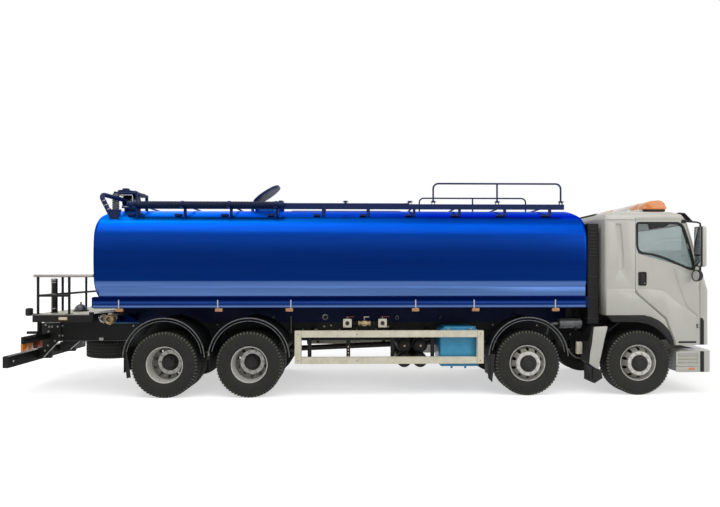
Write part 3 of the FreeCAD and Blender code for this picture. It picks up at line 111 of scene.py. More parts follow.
def feed(tree, node, inputs):
    """Link the sockets and set the values among a node's inputs."""
    for name, value in inputs.items():
        if isinstance(value, bpy.types.NodeSocket):
            tree.links.new(value, node.inputs[name])
        else:
            node.inputs[name].default_value = value


def add_node(tree, kind, inputs=(), out=0, **settings):
    """New shader node; gives the output that is asked for."""
    node = tree.nodes.new("ShaderNode" + kind)
    for name, value in settings.items():
        setattr(node, name, value)
    feed(tree, node, dict(inputs))
    return node.outputs[out]


def colour_ramp(tree, value, stops):
    ramp = tree.nodes.new("ShaderNodeValToRGB")
    elements = ramp.color_ramp.elements
    while len(elements) < len(stops):
        elements.new(1.0)
    for stop, (position, colour) in zip(elements, stops):
        stop.position = position
        stop.color = (*colour, 1)
    feed(tree, ramp, {"Fac": value})
    return ramp.outputs["Color"]


def blank_material(name):
    material = bpy.data.materials.new(name)
    material.use_nodes = True
    return material, material.node_tree, material.node_tree.nodes["Principled BSDF"]


def first_node(tree, kind):
    return next(node for node in tree.nodes if node.type == kind)


def finish_material(name):
    """Mottled, slightly uneven surface on Object coordinates."""
    colour, second, rough, metallic, coat, size, share, bump, specular = FINISHES[name]
    material, tree, shader = blank_material(name)
    place = add_node(tree, "TexCoord", out="Object")
    mottle = add_node(tree, "TexNoise", {"Scale": size, "Detail": 6, "Roughness": 0.6, "Vector": place}, "Fac")
    fine = add_node(tree, "TexNoise", {"Scale": size * 12, "Detail": 3, "Vector": place}, "Fac")
    feed(
        tree, shader,
        {
            "Metallic": metallic,
            "Coat Weight": coat,
            "Coat Roughness": 0.06,
            "Specular IOR Level": specular,
            "Base Color": colour_ramp(tree, mottle, ((0.5 - 0.4 * share, colour), (0.5 + 0.4 * share, second))),
            "Roughness": add_node(
                tree, "MapRange",
                {"To Min": rough * 0.8, "To Max": rough * 1.2, "Value": mottle}),
            "Normal": add_node(tree, "Bump", {"Strength": bump, "Distance": 0.004, "Height": fine})})
    return material


def tank_paint(finish, levels, front_levels):
    """Deep metallic blue whose sides take painted reflections and highlights as pale and dark rows by height."""
    material = finish_material(finish)
    tree = material.node_tree
    shader = tree.nodes["Principled BSDF"]
    plain = shader.inputs["Base Color"].links[0].from_socket
    place = first_node(tree, "TEX_COORD").outputs["Object"]
    split = tree.nodes.new("ShaderNodeSeparateXYZ")
    feed(tree, split, {0: place})

    def painted_rows(levels):
        bottom, top = levels[0][0], levels[-1][0]
        height = add_node(tree, "MapRange", {"From Min": bottom, "From Max": top, "Value": split.outputs["Z"]})
        return colour_ramp(tree, height, [((level - bottom) / (top - bottom), colour) for level, colour in levels])

    def mix(**inputs):
        blend = inputs.pop("blend", "MIX")
        node = tree.nodes.new("ShaderNodeMix")
        node.data_type = "RGBA"
        node.blend_type = blend
        feed(tree, node, inputs)
        return node.outputs["Result"]

    forward = add_node(
        tree, "MapRange",
        {"From Min": ROWS_REAR, "From Max": ROWS_FRONT, "Value": split.outputs["X"]})
    rows = mix(Factor=forward, A=painted_rows(levels), B=painted_rows(front_levels))
    streaks = add_node(tree, "Mapping", {"Scale": (0.25, 1, 9), "Vector": place})
    grain = add_node(tree, "TexNoise", {"Scale": 3.5, "Detail": 5, "Vector": streaks}, "Fac")
    tone = add_node(tree, "MapRange", {"To Min": 0.80, "To Max": 1.20, "Value": grain})
    toned = mix(blend="MULTIPLY", Factor=1, A=rows, B=tone)
    # the painted reflections and highlights go on the sides only; the ends keep the plain paint
    facing = add_node(tree, "SeparateXYZ", {0: add_node(tree, "NewGeometry", out="True Normal")}, "X")
    ahead = add_node(tree, "Math", {0: facing}, operation="ABSOLUTE")
    sideways = add_node(
        tree, "MapRange",
        {"From Min": 0.45, "From Max": 0.85, "To Min": 1, "To Max": 0, "Value": ahead})
    feed(
        tree, shader,
        {"Specular Tint": (0.05, 0.25, 1.0, 1), "Base Color": mix(Factor=sideways, A=plain, B=toned)})
    return material


def deck_paint():
    """Trodden steel plate with raised crossed bars."""
    material = finish_material("deck_steel")
    tree = material.node_tree
    place = first_node(tree, "TEX_COORD").outputs["Object"]
    waves = []
    for angle in (45, -45):
        turn = add_node(tree, "Mapping", {"Rotation": (0, 0, math.radians(angle)), "Vector": place})
        waves.append(add_node(tree, "TexWave", {"Scale": 14, "Vector": turn}, "Fac"))
    crossed = add_node(tree, "Math", dict(enumerate(waves)), operation="MULTIPLY")
    feed(tree, first_node(tree, "BUMP"), {"Strength": 0.6, "Height": crossed})
    return material


def glass_material():
    material, tree, shader = blank_material("tinted_glass")
    haze = add_node(tree, "TexNoise", {"Scale": 5, "Vector": add_node(tree, "TexCoord", out="Object")}, "Fac")
    feed(
        tree, shader,
        {
            "Transmission Weight": 0.92,
            "Roughness": 0.02,
            "IOR": 1.45,
            "Base Color": colour_ramp(tree, haze, ((0, (0.46, 0.53, 0.53)), (1, (0.56, 0.63, 0.62))))})
    return material


PAINTED = {
    "tinted_glass": glass_material, "deck_steel": deck_paint,
    "tank_blue": lambda: tank_paint("tank_blue", SHELL_REFLECTION_ROWS, FRONT_REFLECTION_ROWS),
    "tray_blue": lambda: tank_paint("tray_blue", TRAY_HIGHLIGHT_ROWS, TRAY_HIGHLIGHT_ROWS),
}
MATERIALS = {name: finish_material(name) for name in FINISHES if name not in PAINTED}
MATERIALS.update({name: make() for name, make in PAINTED.items()})


def corner_names(pattern, axles):
    return [pattern.format(axle, side) for axle in axles for side, _ in SIDES]


STEERED, DRIVEN = ("first", "second"), ("third", "fourth")
# finish: CAD nodes that keep their own shape
NODE_FINISHES = {
    "tank_blue": ["tank_shell"],
    "beam_blue": ["tank_subframe"],
    "navy_steel": ["walkway", "rear_ladder", "top_pump", "manhole_lid"] + corner_names(
        "guard_rail_{}_{}", ("front", "rear")),
    "hose_rubber": ["suction_hose"],
    "frame_black": [
        "chassis_frame", "leaf_springs", "underrun_guard", "rear_platform", "air_reservoirs", "mudguards",
        "air_intake"],
    "cast_iron": ["powertrain", "axles"] + corner_names("knuckle_{}_{}", STEERED),
    "plastic_black": ["dashboard", "steering_wheel", "mirror_right", "mirror_left"],
    "guard_cream": ["side_guards", "water_pipework"],
    "sky_blue": ["auxiliary_tank"],
    "bare_steel": ["silencer", "fuel_tank"],
    "cab_white_painted_shade": ["cab_shell", "door_right", "door_left", "front_bumper"],
    "tinted_glass": ["windscreen", "door_glass_right", "door_glass_left"],
    "cloth_grey": ["seats"],
    "amber_lens": ["lamps"],
    "clear_lens": ["light_bar"],
    "tyre_rubber": ["spare_wheel"] + corner_names("tyre_{}_{}", STEERED) + corner_names("tyres_{}_{}", DRIVEN),
    "wheel_silver": corner_names("rim_{}_{}", STEERED) + corner_names("rims_{}_{}", DRIVEN)}
for finish, names in NODE_FINISHES.items():
    for name in names:
        for slot in NODES[name].material_slots:
            slot.material = MATERIALS[finish]


# ---------------------------------------------------------------- modelling helpers
MERGE = 1e-5
MIRROR = Matrix.Scale(-1, 4, (0, 1, 0))


def select_only(*objects):
    bpy.ops.object.select_all(action="DESELECT")
    for item in objects:
        item.select_set(True)
    bpy.context.view_layer.objects.active = objects[0]


def settle(item):
    """Leave the object at the origin with its place in its mesh."""
    select_only(item)
    bpy.ops.object.transform_apply(location=True, rotation=True, scale=True)
    return item


def made_of(finish):
    item = bpy.context.object
    item.data.materials.clear()
    item.data.materials.append(MATERIALS[finish])
    return item


def edit(item, action="DESELECT"):
    select_only(item)
    bpy.ops.object.mode_set(mode="EDIT")
    bpy.ops.mesh.select_all(action=action)


def leave():
    bpy.ops.object.mode_set(mode="OBJECT")


def choose_faces(item, test):
    mesh = bmesh.from_edit_mesh(item.data)
    bpy.ops.mesh.select_mode(type="FACE")
    for face in mesh.faces:
        face.select_set(bool(test(face)))
    mesh.select_flush_mode()
    bmesh.update_edit_mesh(item.data)


def tidy_normals(item):
    edit(item, "SELECT")
    bpy.ops.mesh.remove_doubles(threshold=MERGE)
    bpy.ops.mesh.normals_make_consistent(inside=False)
    leave()
    return item


def smooth(item, angle=40):
    select_only(item)
    bpy.ops.object.shade_smooth_by_angle(angle=math.radians(angle))
    return item


def apply_modifier(item, kind, **values):
    select_only(item)
    modifier = item.modifiers.new(kind.lower(), kind)
    for key, value in values.items():
        setattr(modifier, key, value)
    bpy.ops.object.modifier_apply(modifier=modifier.name)
    return item


def cut(item, cutter):
    apply_modifier(item, "BOOLEAN", object=cutter, operation="DIFFERENCE", solver="EXACT")
    bpy.data.objects.remove(cutter)


def bevelled(item, width):
    if not width:
        return item
    apply_modifier(
        item, "BEVEL", width=width, segments=2, limit_method="ANGLE", angle_limit=math.radians(35),
        harden_normals=False)
    return smooth(item)


def block(finish, low, high, bevel=0.004):
    """Box between two corners with rounded edges."""
    low, high = Vector(low), Vector(high)
    bpy.ops.mesh.primitive_cube_add(size=1, location=(low + high) / 2)
    item = made_of(finish)
    item.scale = high - low
    return bevelled(settle(item), bevel)


def blocks(origin, *rows):
    """Boxes measured from an origin, each a finish, a low corner, a high corner and a bevel."""
    origin = Vector(origin)
    return [block(finish, origin + Vector(low), origin + Vector(high), bevel) for finish, low, high, bevel in rows]


def rod(finish, start, end, radius, bevel=0.002, vertices=32):
    """Round bar between two points."""
    start, end = Vector(start), Vector(end)
    turn = (end - start).to_track_quat("Z", "Y").to_euler()
    bpy.ops.mesh.primitive_cylinder_add(
        vertices=vertices, radius=radius, depth=(end - start).length, location=(start + end) / 2, rotation=turn)
    return bevelled(settle(made_of(finish)), bevel)


def ring_of_points(finish, points):
    """Closed loop of edges through the points."""
    bpy.ops.mesh.primitive_circle_add(vertices=len(points), radius=1, fill_type="NOTHING")
    item = made_of(finish)
    for vertex, point in zip(item.data.vertices, points):
        vertex.co = point
    return item


def lathe(finish, profile, centre=(0, 0, 0), steps=96):
    """Closed profile of (outward, radius) turned about a lateral axis; outward is to the right side."""
    centre = Vector(centre)
    item = ring_of_points(finish, [centre + Vector((0, -across, radius)) for across, radius in profile])
    edit(item, "SELECT")
    bpy.ops.mesh.spin(steps=steps, angle=2 * math.pi, center=centre, axis=(0, 1, 0))
    leave()
    return smooth(tidy_normals(item))


def lathe_turned(axis, angle):
    """Lathe about another axis, from a profile of (along, radius)."""
    def turned(finish, profile, centre, steps=48):
        item = lathe(finish, profile, steps=steps)
        item.data.transform(Matrix.Translation(Vector(centre)) @ Matrix.Rotation(math.radians(angle), 4, axis))
        return item
    return turned


lathe_x = lathe_turned("Z", 90)
lathe_z = lathe_turned("X", -90)


def plate(finish, outline, direction, depth, bevel=0.003):
    """Flat outline of 3-D points pushed out along a direction."""
    item = ring_of_points(finish, outline)
    edit(item, "SELECT")
    bpy.ops.mesh.edge_face_add()
    bpy.ops.mesh.extrude_region_move(TRANSFORM_OT_translate={"value": Vector(direction) * depth})
    leave()
    return bevelled(tidy_normals(item), bevel)


def pipe(finish, points, radius, cyclic=False, smooth_path=False, resolution=4):
    """Round tube through the points, made a mesh."""
    curve = bpy.data.curves.new("pipe", "CURVE")
    curve.dimensions = "3D"
    spline = curve.splines.new("NURBS" if smooth_path else "POLY")
    spline.points.add(len(points) - 1)
    for knot, point in zip(spline.points, points):
        knot.co = (*point, 1)
    if smooth_path:
        spline.order_u = 3
        spline.use_endpoint_u = not cyclic
    spline.use_cyclic_u = cyclic
    curve.bevel_depth = radius
    curve.bevel_resolution = resolution
    curve.use_fill_caps = True
    item = bpy.data.objects.new("pipe", curve)
    bpy.context.collection.objects.link(item)
    select_only(item)
    bpy.ops.object.convert(target="MESH")
    return smooth(tidy_normals(made_of(finish)), 50)


def joined(items):
    select_only(*items)
    if len(items) > 1:
        bpy.ops.object.join()
    return bpy.context.object


def copy_of(item, matrix):
    """Copy with its own mesh, moved by a matrix; a mirrored one gets its faces turned back."""
    twin = item.copy()
    twin.data = item.data.copy()
    bpy.context.collection.objects.link(twin)
    twin.data.transform(matrix)
    if matrix.determinant() < 0:
        twin.data.flip_normals()
    return twin


def row_of(item, places):
    """Join copies of a piece set at each place, and drop the pattern."""
    copies = [copy_of(item, Matrix.Translation(Vector(place))) for place in places]
    bpy.data.objects.remove(item)
    return joined(copies)


def bolt(finish, axis, radius=0.014, height=0.010):
    """Six-sided head on a washer, standing out along an axis from the origin."""
    axis = Vector(axis).normalized()
    return joined([
        rod(finish, axis * -0.004, axis * 0.003, radius * 1.45, 0.001, 20),
        rod(finish, (0, 0, 0), axis * height, radius, 0.0015, 6)])


def finish_piece(name, parts, body, slot, *replaced):
    """Join the parts under one name and fit them to the body that carries them."""
    item = joined(parts) if isinstance(parts, list) else parts
    item.name = item.data.name = name
    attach(item, body)
    if replaced:
        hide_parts(*replaced)
    return item


def both_sides(name, parts, bodies, slot, *replaced):
    """Fit a right-side piece and its mirrored copy; names in braces take the side."""
    right = joined(parts) if isinstance(parts, list) else parts
    for piece, (side, _) in zip((right, copy_of(right, MIRROR)), SIDES):
        finish_piece(name.format(side), piece, bodies.format(side), slot, *[node.format(side) for node in replaced])


# ---------------------------------------------------------------- camera, floor and light
LAMPS = (   # name, place, target, width, height, power
    ("sky_panel", (-1.0, -5.0, 9.5), (0, 0, 1.5), 18, 7, 760),
    ("front_panel", (9.0, -6.0, 5.0), (2, 0, 1.5), 6, 5, 150),
    ("rear_panel", (-8.0, 8.0, 6.0), (0, 0, 1.5), 8, 5, 250),
)


def seen_directly(tree):
    """1 for camera, glossy and transmission rays."""
    path = tree.nodes.new("ShaderNodeLightPath")
    either = add_node(
        tree, "Math",
        {0: path.outputs["Is Camera Ray"], 1: path.outputs["Is Glossy Ray"]}, operation="MAXIMUM")
    return add_node(tree, "Math", {0: either, 1: path.outputs["Is Transmission Ray"]}, operation="MAXIMUM")


def stage():
    scene = bpy.context.scene
    lens = bpy.data.cameras.new("camera")
    lens.lens, lens.shift_y, lens.clip_end = 25.35, 0.0243, 300
    scene.camera = bpy.data.objects.new("camera", lens)
    bpy.context.collection.objects.link(scene.camera)
    scene.camera.location = (-0.255, -9.49, 2.06)
    scene.camera.rotation_euler = (math.radians(90), 0, math.radians(-1.08))

    bpy.ops.mesh.primitive_plane_add(size=160, location=(0, 0, 0))
    floor = bpy.context.object
    floor.name = "floor"
    material, tree, shader = blank_material("pale_floor")
    tree.nodes.remove(shader)
    away = add_node(tree, "VectorMath", {0: add_node(tree, "TexCoord", out="Object")}, "Value", operation="LENGTH")
    lift = add_node(
        tree, "MapRange",
        {"From Min": 8, "From Max": 20, "To Min": 0.55, "To Max": 0.85, "Value": away})
    share = add_node(tree, "Math", {0: seen_directly(tree), 1: lift}, operation="MULTIPLY")
    both = add_node(
        tree, "AddShader",
        {
            0: add_node(tree, "BsdfDiffuse", {"Color": (0.75, 0.75, 0.75, 1)}),
            1: add_node(tree, "Emission", {"Strength": share})})
    feed(tree, tree.nodes["Material Output"], {"Surface": both})
    floor.data.materials.append(material)

    scene.world = bpy.data.worlds.new("studio")
    scene.world.use_nodes = True
    tree = scene.world.node_tree
    level = add_node(tree, "MapRange", {"To Min": 0.40, "To Max": 1.0, "Value": seen_directly(tree)})
    feed(tree, tree.nodes["Background"], {"Color": (1, 1, 1, 1), "Strength": level})

    for name, place, target, width, height, power in LAMPS:
        data = bpy.data.lights.new(name, "AREA")
        data.shape = "RECTANGLE"
        data.size, data.size_y, data.energy = width, height, power
        lamp = bpy.data.objects.new(name, data)
        bpy.context.collection.objects.link(lamp)
        lamp.location = place
        lamp.rotation_euler = (Vector(target) - Vector(place)).to_track_quat("-Z", "Y").to_euler()
    scene.view_settings.view_transform = "Standard"


# ---------------------------------------------------------------- wheels
TYRE_RADIUS = 0.535
TYRE_HALF = 0.15
LUG_STEPS = 180
# outward, radius, from the bead to the edge of the tread
TYRE_SIDE = [
    (0.106, 0.2875), (0.116, 0.3), (0.131, 0.316), (0.142, 0.345), (0.148, 0.38), (0.1485, 0.386), (0.151, 0.388),
    (0.151, 0.396), (0.149, 0.398), (0.1495, 0.43), (0.1475, 0.455), (0.149, 0.457), (0.148, 0.464),
    (0.1455, 0.466), (0.141, 0.486), (0.1395, 0.5), (0.136, 0.516), (0.129, 0.531), (0.122, 0.535)]
# edges of the two grooves on each half of the tread
TREAD_EDGES = (0.09, 0.08, 0.034, 0.024)
GROOVE_DEPTH = 0.014
NOTCH_DEPTH = 0.013
RIM_FLANGE = [(0.118, 0.2985), (0.123, 0.2965), (0.1225, 0.289)]
RIM_WELL = [(-across, radius) for across, radius in reversed(RIM_FLANGE)] + [(-0.106, 0.2865), (0.106, 0.2865)]
FRONT_RIM = RIM_FLANGE + [
    (0.11, 0.28), (0.09, 0.272), (0.066, 0.266), (0.074, 0.262), (0.1, 0.248), (0.128, 0.232), (0.148, 0.214),
    (0.158, 0.203), (0.165, 0.197), (0.165, 0.139), (0.152, 0.139), (0.152, 0.194), (0.146, 0.202), (0.126, 0.22),
    (0.09, 0.24), (0.05, 0.254), (-0.06, 0.258), (-0.108, 0.266)] + RIM_WELL
REAR_RIM = RIM_FLANGE + [
    (0.11, 0.281), (0.09, 0.276), (0.072, 0.2765), (0.06, 0.27), (-0.055, 0.266), (-0.085, 0.257),
    (-0.124, 0.234), (-0.146, 0.212), (-0.153, 0.2), (-0.153, 0.139), (-0.165, 0.139), (-0.165, 0.202),
    (-0.158, 0.216), (-0.138, 0.24), (-0.114, 0.26)] + RIM_WELL
FRONT_HUB = [
    (0.1, 0.001), (0.1, 0.1385), (0.168, 0.1385), (0.174, 0.134), (0.176, 0.112), (0.196, 0.104), (0.203, 0.096),
    (0.203, 0.064), (0.209, 0.058), (0.211, 0.03), (0.212, 0.001)]
REAR_HUB = [
    (-0.4, 0.001), (-0.4, 0.1385), (-0.145, 0.1385), (-0.13, 0.134), (-0.122, 0.118), (-0.075, 0.112),
    (-0.068, 0.112), (-0.066, 0.098), (-0.05, 0.09), (-0.044, 0.052), (-0.042, 0.001)]
BRAKE_FACE = [(0.028, 0.12), (0.028, 0.246), (0.012, 0.248), (0.012, 0.252), (0.04, 0.25), (0.04, 0.12)]
HAND_HOLE_CIRCLE = 0.2345
# radii between which the disc is painted darker: painted shade of the recess, with some dust
SHADE_AND_DUST_RING = (0.199, 0.262)
STUD_CIRCLE = 0.1675
STUDS = 10


def second_finish(item, finish, test):
    """Give the faces that pass the test another finish."""
    item.data.materials.append(MATERIALS[finish])
    for face in item.data.polygons:
        if test(face.center):
            face.material_index = 1


def tyre():
    """Tyre about the origin's lateral axis: sidewalls with raised rings, grooves and shoulder lugs."""
    half = TYRE_SIDE + [(across, TYRE_RADIUS) for across in TREAD_EDGES]
    item = lathe("tyre_rubber", half + [(-across, radius) for across, radius in reversed(half)], steps=LUG_STEPS)
    shoulder, outer, inner, middle = TREAD_EDGES
    step = 2 * math.pi / LUG_STEPS

    def spot(centre):
        """Radius, distance from the middle and place in a lug's three steps."""
        turn = math.atan2(centre.z, centre.x) % (2 * math.pi)
        return math.hypot(centre.x, centre.z), abs(centre.y), int(turn / step) % 3

    def in_groove(face):
        radius, across, _ = spot(face.calc_center_median())
        return radius > 0.53 and (outer < across < shoulder or middle < across < inner)

    def in_notch(face):
        radius, across, third = spot(face.calc_center_median())
        return radius > 0.505 and across > shoulder and third == 0

    def on_edge(centre):
        radius, across, third = spot(centre)
        return 0.495 < radius < 0.534 and across > shoulder and third == 1

    edit(item)
    for test, depth in ((in_groove, GROOVE_DEPTH), (in_notch, NOTCH_DEPTH)):
        choose_faces(item, test)
        bpy.ops.mesh.extrude_region_shrink_fatten(TRANSFORM_OT_shrink_fatten={"value": -depth})
    leave()
    second_finish(item, "tread_edge", on_edge)
    return smooth(item, 30)


def around(count, radius, phase=0.0):
    """Points round the lateral axis, as (x, z)."""
    for index in range(count):
        angle = 2 * math.pi * index / count + phase
        yield (radius * math.cos(angle), radius * math.sin(angle))


def holed_rim(profile, reach):
    """Rim with ten hand holes, its dish painted darker as shade of the recess with some dust; reach is how far out
    the holes' cutters start and end.
    """
    item = lathe("wheel_silver", profile)
    cut(
        item,
        joined([rod("wheel_silver", (x, -reach[0], z), (x, -reach[1], z), 0.027, 0, 24)
            for x, z in around(STUDS, HAND_HOLE_CIRCLE, math.radians(18))]))
    apply_modifier(item, "BEVEL", width=0.0015, segments=1, limit_method="ANGLE", angle_limit=math.radians(60))
    second_finish(item, "wheel_dust_and_shade", lambda centre: SHADE_AND_DUST_RING[0] < math.hypot(centre.x, centre.z) < SHADE_AND_DUST_RING[1])
    return smooth(item, 35)


def wheel_nuts(face):
    """Washer, nut and stud end ten times on the disc; face is how far outward the disc's face is."""
    return joined([
        rod("wheel_silver", (x, -face - start, z), (x, -face - end, z), *form)
        for x, z in around(STUDS, STUD_CIRCLE)
        for start, end, *form in (
            (0, 0.004, 0.023, 0.001, 20), (0.004, 0.024, 0.0185, 0.002, 6), (0.02, 0.034, 0.011, 0.001, 12))])


def hub(profiles, bolt_circle, face):
    return joined([lathe("cast_iron", profile, steps=64) for profile in profiles] + [rod(
        "cast_iron", (x, -face, z), (x, -face - 0.012, z), 0.009, 0.001, 6)
        for x, z in around(8, bolt_circle, math.radians(22))])


def wheels():
    """Copies of one tyre and two rims: single in front, twin at the rear, and the spare's tyre."""
    pattern = {"tyre": tyre(), "front_rim": holed_rim(FRONT_RIM, (0.0, 0.3)),
        "rear_rim": holed_rim(REAR_RIM, (-0.3, 0.0)),
               "front_nuts": wheel_nuts(0.165), "rear_nuts": wheel_nuts(-0.153),
               "front_hub": hub((FRONT_HUB, BRAKE_FACE), 0.08, 0.202), "rear_hub": hub((REAR_HUB,), 0.1, -0.068)}
    for side, sign in SIDES:
        for axle in STEERED + DRIVEN:
            kind, many = ("rear", "s") if axle in DRIVEN else ("front", "")
            low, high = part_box(f"tyre{many}_{axle}_{side}")
            middle = (low + high) / 2
            near, far = (low.y, high.y) if sign > 0 else (high.y, low.y)
            places = [("tread", "disc", middle.y, sign > 0)]
            if axle in DRIVEN:
                places = [
                    ("outer", "outer", far - TYRE_HALF * sign, sign > 0),
                    ("inner", "inner", near + TYRE_HALF * sign, sign < 0)]
            for tread, disc, y, flip in places:
                move = Matrix.Translation((middle.x, y, middle.z)) @ (MIRROR if flip else Matrix.Identity(4))
                rows = [
                    ("tyre", f"tyre_{axle}_{side}_{tread}", "tyre", f"tyre{many}_{axle}_{side}"),
                    (f"{kind}_rim", f"rim_{axle}_{side}_{disc}", "wheel_steel", f"rim{many}_{axle}_{side}")]
                if tread != "inner":
                    rows += [
                        (f"{kind}_nuts", f"nuts_{axle}_{side}", "wheel_steel"),
                        (f"{kind}_hub", f"hub_{axle}_{side}", "cast_steel")]
                for part, name, slot, *replaced in rows:
                    finish_piece(name, copy_of(pattern[part], move), f"wheel_{axle}_{side}", slot, *replaced)
    low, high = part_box("spare_wheel")
    lie = Matrix.Translation(((low.x + high.x) / 2, (low.y + high.y) / 2, low.z + TYRE_HALF)) @ Matrix.Rotation(
        math.radians(90), 4, "X")
    finish_piece("spare_tyre", copy_of(pattern["tyre"], lie), "chassis", "tyre")
    for item in pattern.values():
        bpy.data.objects.remove(item)


# ---------------------------------------------------------------- outlines
AXLE_1, AXLE_2, AXLE_3, AXLE_4 = 4.525, 2.675, -1.9, -3.27
CAB_SIDE = 1.22


def softened(points, radius, steps=4):
    """Flat outline of (x, z) with its corners rounded."""
    out = []
    count = len(points)
    for index in range(count):
        corner = Vector(points[index])
        before = Vector(points[index - 1]) - corner
        after = Vector(points[(index + 1) % count]) - corner
        reach = min(radius, before.length * 0.45, after.length * 0.45)
        first = corner + before.normalized() * reach
        last = corner + after.normalized() * reach
        for step in range(steps + 1):
            share = step / steps
            out.append(first * (1 - share) ** 2 + corner * (2 * share * (1 - share)) + last * share ** 2)
    return out


def shrunk(points, distance):
    """Closed outline moved inwards by a distance along its corners' bisectors."""
    points = [Vector(point) for point in points]
    area = sum((a.x * b.y - b.x * a.y for a, b in zip(points, points[1:] + points[:1])))
    turn = 1 if area > 0 else -1
    out = []
    for index, corner in enumerate(points):
        first = (corner - points[index - 1]).normalized()
        second = (points[(index + 1) % len(points)] - corner).normalized()
        inward = Vector((-(first.y + second.y), first.x + second.x)) * turn
        if inward.length < 1e-06:
            inward = Vector((-first.y, first.x)) * turn
        inward.normalize()
        share = max(0.4, inward.dot(Vector((-first.y, first.x)) * turn))
        out.append(corner + inward * (distance / share))
    return out


def cab_outline(points, y):
    return [Vector((AXLE_1 + x, y, z)) for x, z in points]


def side_panel(finish, points, y, depth, bevel=0.004):
    """Panel on the cab's right side: outline of (x from the first axle, z), pushed inwards from y."""
    return plate(finish, cab_outline(points, y), (0, 1, 0), depth, bevel)


def side_frame(finish, outer, inner, y, depth, bevel=0.003):
    """Ring between two outlines with as many points each."""
    item = joined([ring_of_points(finish, cab_outline(outer, y)), ring_of_points(finish, cab_outline(inner, y))])
    edit(item, "SELECT")
    bpy.ops.mesh.bridge_edge_loops()
    bpy.ops.mesh.select_all(action="SELECT")
    bpy.ops.mesh.extrude_region_move(TRANSFORM_OT_translate={"value": (0, depth, 0)})
    leave()
    return bevelled(tidy_normals(item), bevel)


def cad_copy(node, finish):
    """Merged copy of a CAD node's mesh with its flat faces joined up."""
    source = NODES[node]
    item = bpy.data.objects.new("copy", source.data.copy())
    bpy.context.collection.objects.link(item)
    item.data.transform(source.matrix_world)
    select_only(item)
    for face in made_of(finish).data.polygons:
        face.material_index = 0
    edit(item, "SELECT")
    bpy.ops.mesh.remove_doubles(threshold=MERGE)
    bpy.ops.mesh.dissolve_limited(angle_limit=math.radians(0.8))
    leave()
    return item


def bevel_edges(item, test, width, segments, sharp):
    """Round the edges that turn by more than an angle and pass the test of their middle and run."""
    edit(item)
    bpy.ops.mesh.select_mode(type="EDGE")
    mesh = bmesh.from_edit_mesh(item.data)
    for edge in mesh.edges:
        start, end = (vertex.co for vertex in edge.verts)
        turned = len(edge.link_faces) == 2 and edge.calc_face_angle(0) > math.radians(sharp)
        edge.select_set(bool(turned and test((start + end) / 2, end - start)))
    bmesh.update_edit_mesh(item.data)
    bpy.ops.mesh.bevel(offset=width, segments=segments, affect="EDGES", clamp_overlap=True)
    leave()
    tidy_normals(item)


# ---------------------------------------------------------------- cab
# outlines of (x from the first axle, z)
GROOVE = [
    (-0.412, 2.835), (-0.322, 2.835), (-0.278, 2.35), (-0.278, 2.1), (-0.33, 2.05), (-0.352, 2.12),
    (-0.388, 2.55)]
WINDOW_EDGE = [
    (-0.076, 2.872), (0.645, 2.872), (0.728, 2.805), (0.835, 2.48), (0.922, 2.13), (0.9, 2.062), (0.8, 2.082),
    (0.42, 2.25), (0.2, 2.318), (0.02, 2.338), (-0.05, 2.385), (-0.074, 2.47)]
REAR_FLARE = [
    (-0.572, 1.765), (-0.094, 1.765), (-0.094, 1.708), (-0.046, 1.646), (0.398, 1.268), (0.458, 1.135),
    (0.425, 1.132), (0.298, 1.246), (0.18, 1.3), (0.065, 1.332), (-0.572, 1.332)]
DOOR_FLARE = [
    (-0.07, 1.756), (0.176, 1.762), (0.33, 1.742), (0.4, 1.718), (0.496, 1.64), (0.587, 1.56), (0.679, 1.48),
    (0.77, 1.432), (0.925, 1.323), (0.925, 0.835), (0.572, 0.835), (0.572, 0.9), (0.428, 1.284), (-0.022, 1.666),
    (-0.07, 1.722)]
DOOR_FACET = [
    (0.548, 2.125), (0.86, 1.985), (0.972, 2.0), (0.972, 1.31), (0.79, 1.452), (0.722, 1.59), (0.63, 1.85)]
ARCH_OUTER = [
    (-0.56, 1.328), (-0.3, 1.332), (-0.007, 1.332), (0.176, 1.306), (0.298, 1.246), (0.38, 1.185), (0.45, 1.103),
    (0.519, 0.99), (0.562, 0.845)]
ARCH_INNER = [
    (-0.47, 1.222), (-0.3, 1.224), (-0.03, 1.216), (0.15, 1.178), (0.25, 1.125), (0.33, 1.065), (0.41, 0.985),
    (0.47, 0.895), (0.505, 0.845)]
SHADE = [(0.13, 2.855), (0.44, 2.85), (0.48, 2.835), (0.43, 2.795), (0.16, 2.745)]
NOSE_STRIP = [(1.0, 0.845), (1.055, 0.845), (1.055, 1.24), (1.03, 1.285), (1.0, 1.285)]
GUTTER = [(-0.56, 2.905), (0.64, 2.905), (0.66, 2.918), (-0.56, 2.918)]
LIP = [(0.59, 0.395), (0.93, 0.395), (0.96, 0.43), (0.985, 0.48), (0.59, 0.48)]
VISOR = [
    (0.7, 3.01), (0.79, 3.052), (0.88, 3.04), (1.01, 2.905), (1.0, 2.897), (0.874, 3.024), (0.79, 3.036),
    (0.706, 2.998)]
FAIRING = [(-0.56, 3.048), (0.06, 3.048), (0.29, 3.048), (0.29, 3.115), (0.25, 3.128), (0.05, 3.098)]
# height, distance of the cab's front from the first axle
FRONT_LINE = ((0.84, 1.31), (1.75, 1.31), (2.05, 1.21), (2.9, 0.95), (3.0, 0.88))
NOSE = FRONT_LINE[0][1]
NOSE_RADIUS = 5.162
# x from the lens's middle, rise over the bar's foot
LENS_RISE = (
    (-0.18, 0.035), (-0.162, 0.125), (-0.1, 0.182), (0.07, 0.192), (0.142, 0.15), (0.18, 0.07), (0.172, 0.035))
MIRROR_ARM = (
    (0.695, -1.19, 2.884), (0.74, -1.245, 2.876), (0.862, -1.335, 2.855), (0.895, -1.365, 2.835),
    (0.9, -1.365, 2.78), (0.9, -1.365, 2.13), (0.902, -1.36, 2.06), (0.908, -1.315, 2.033),
    (0.925, -1.235, 2.005), (0.93, -1.19, 2.0))
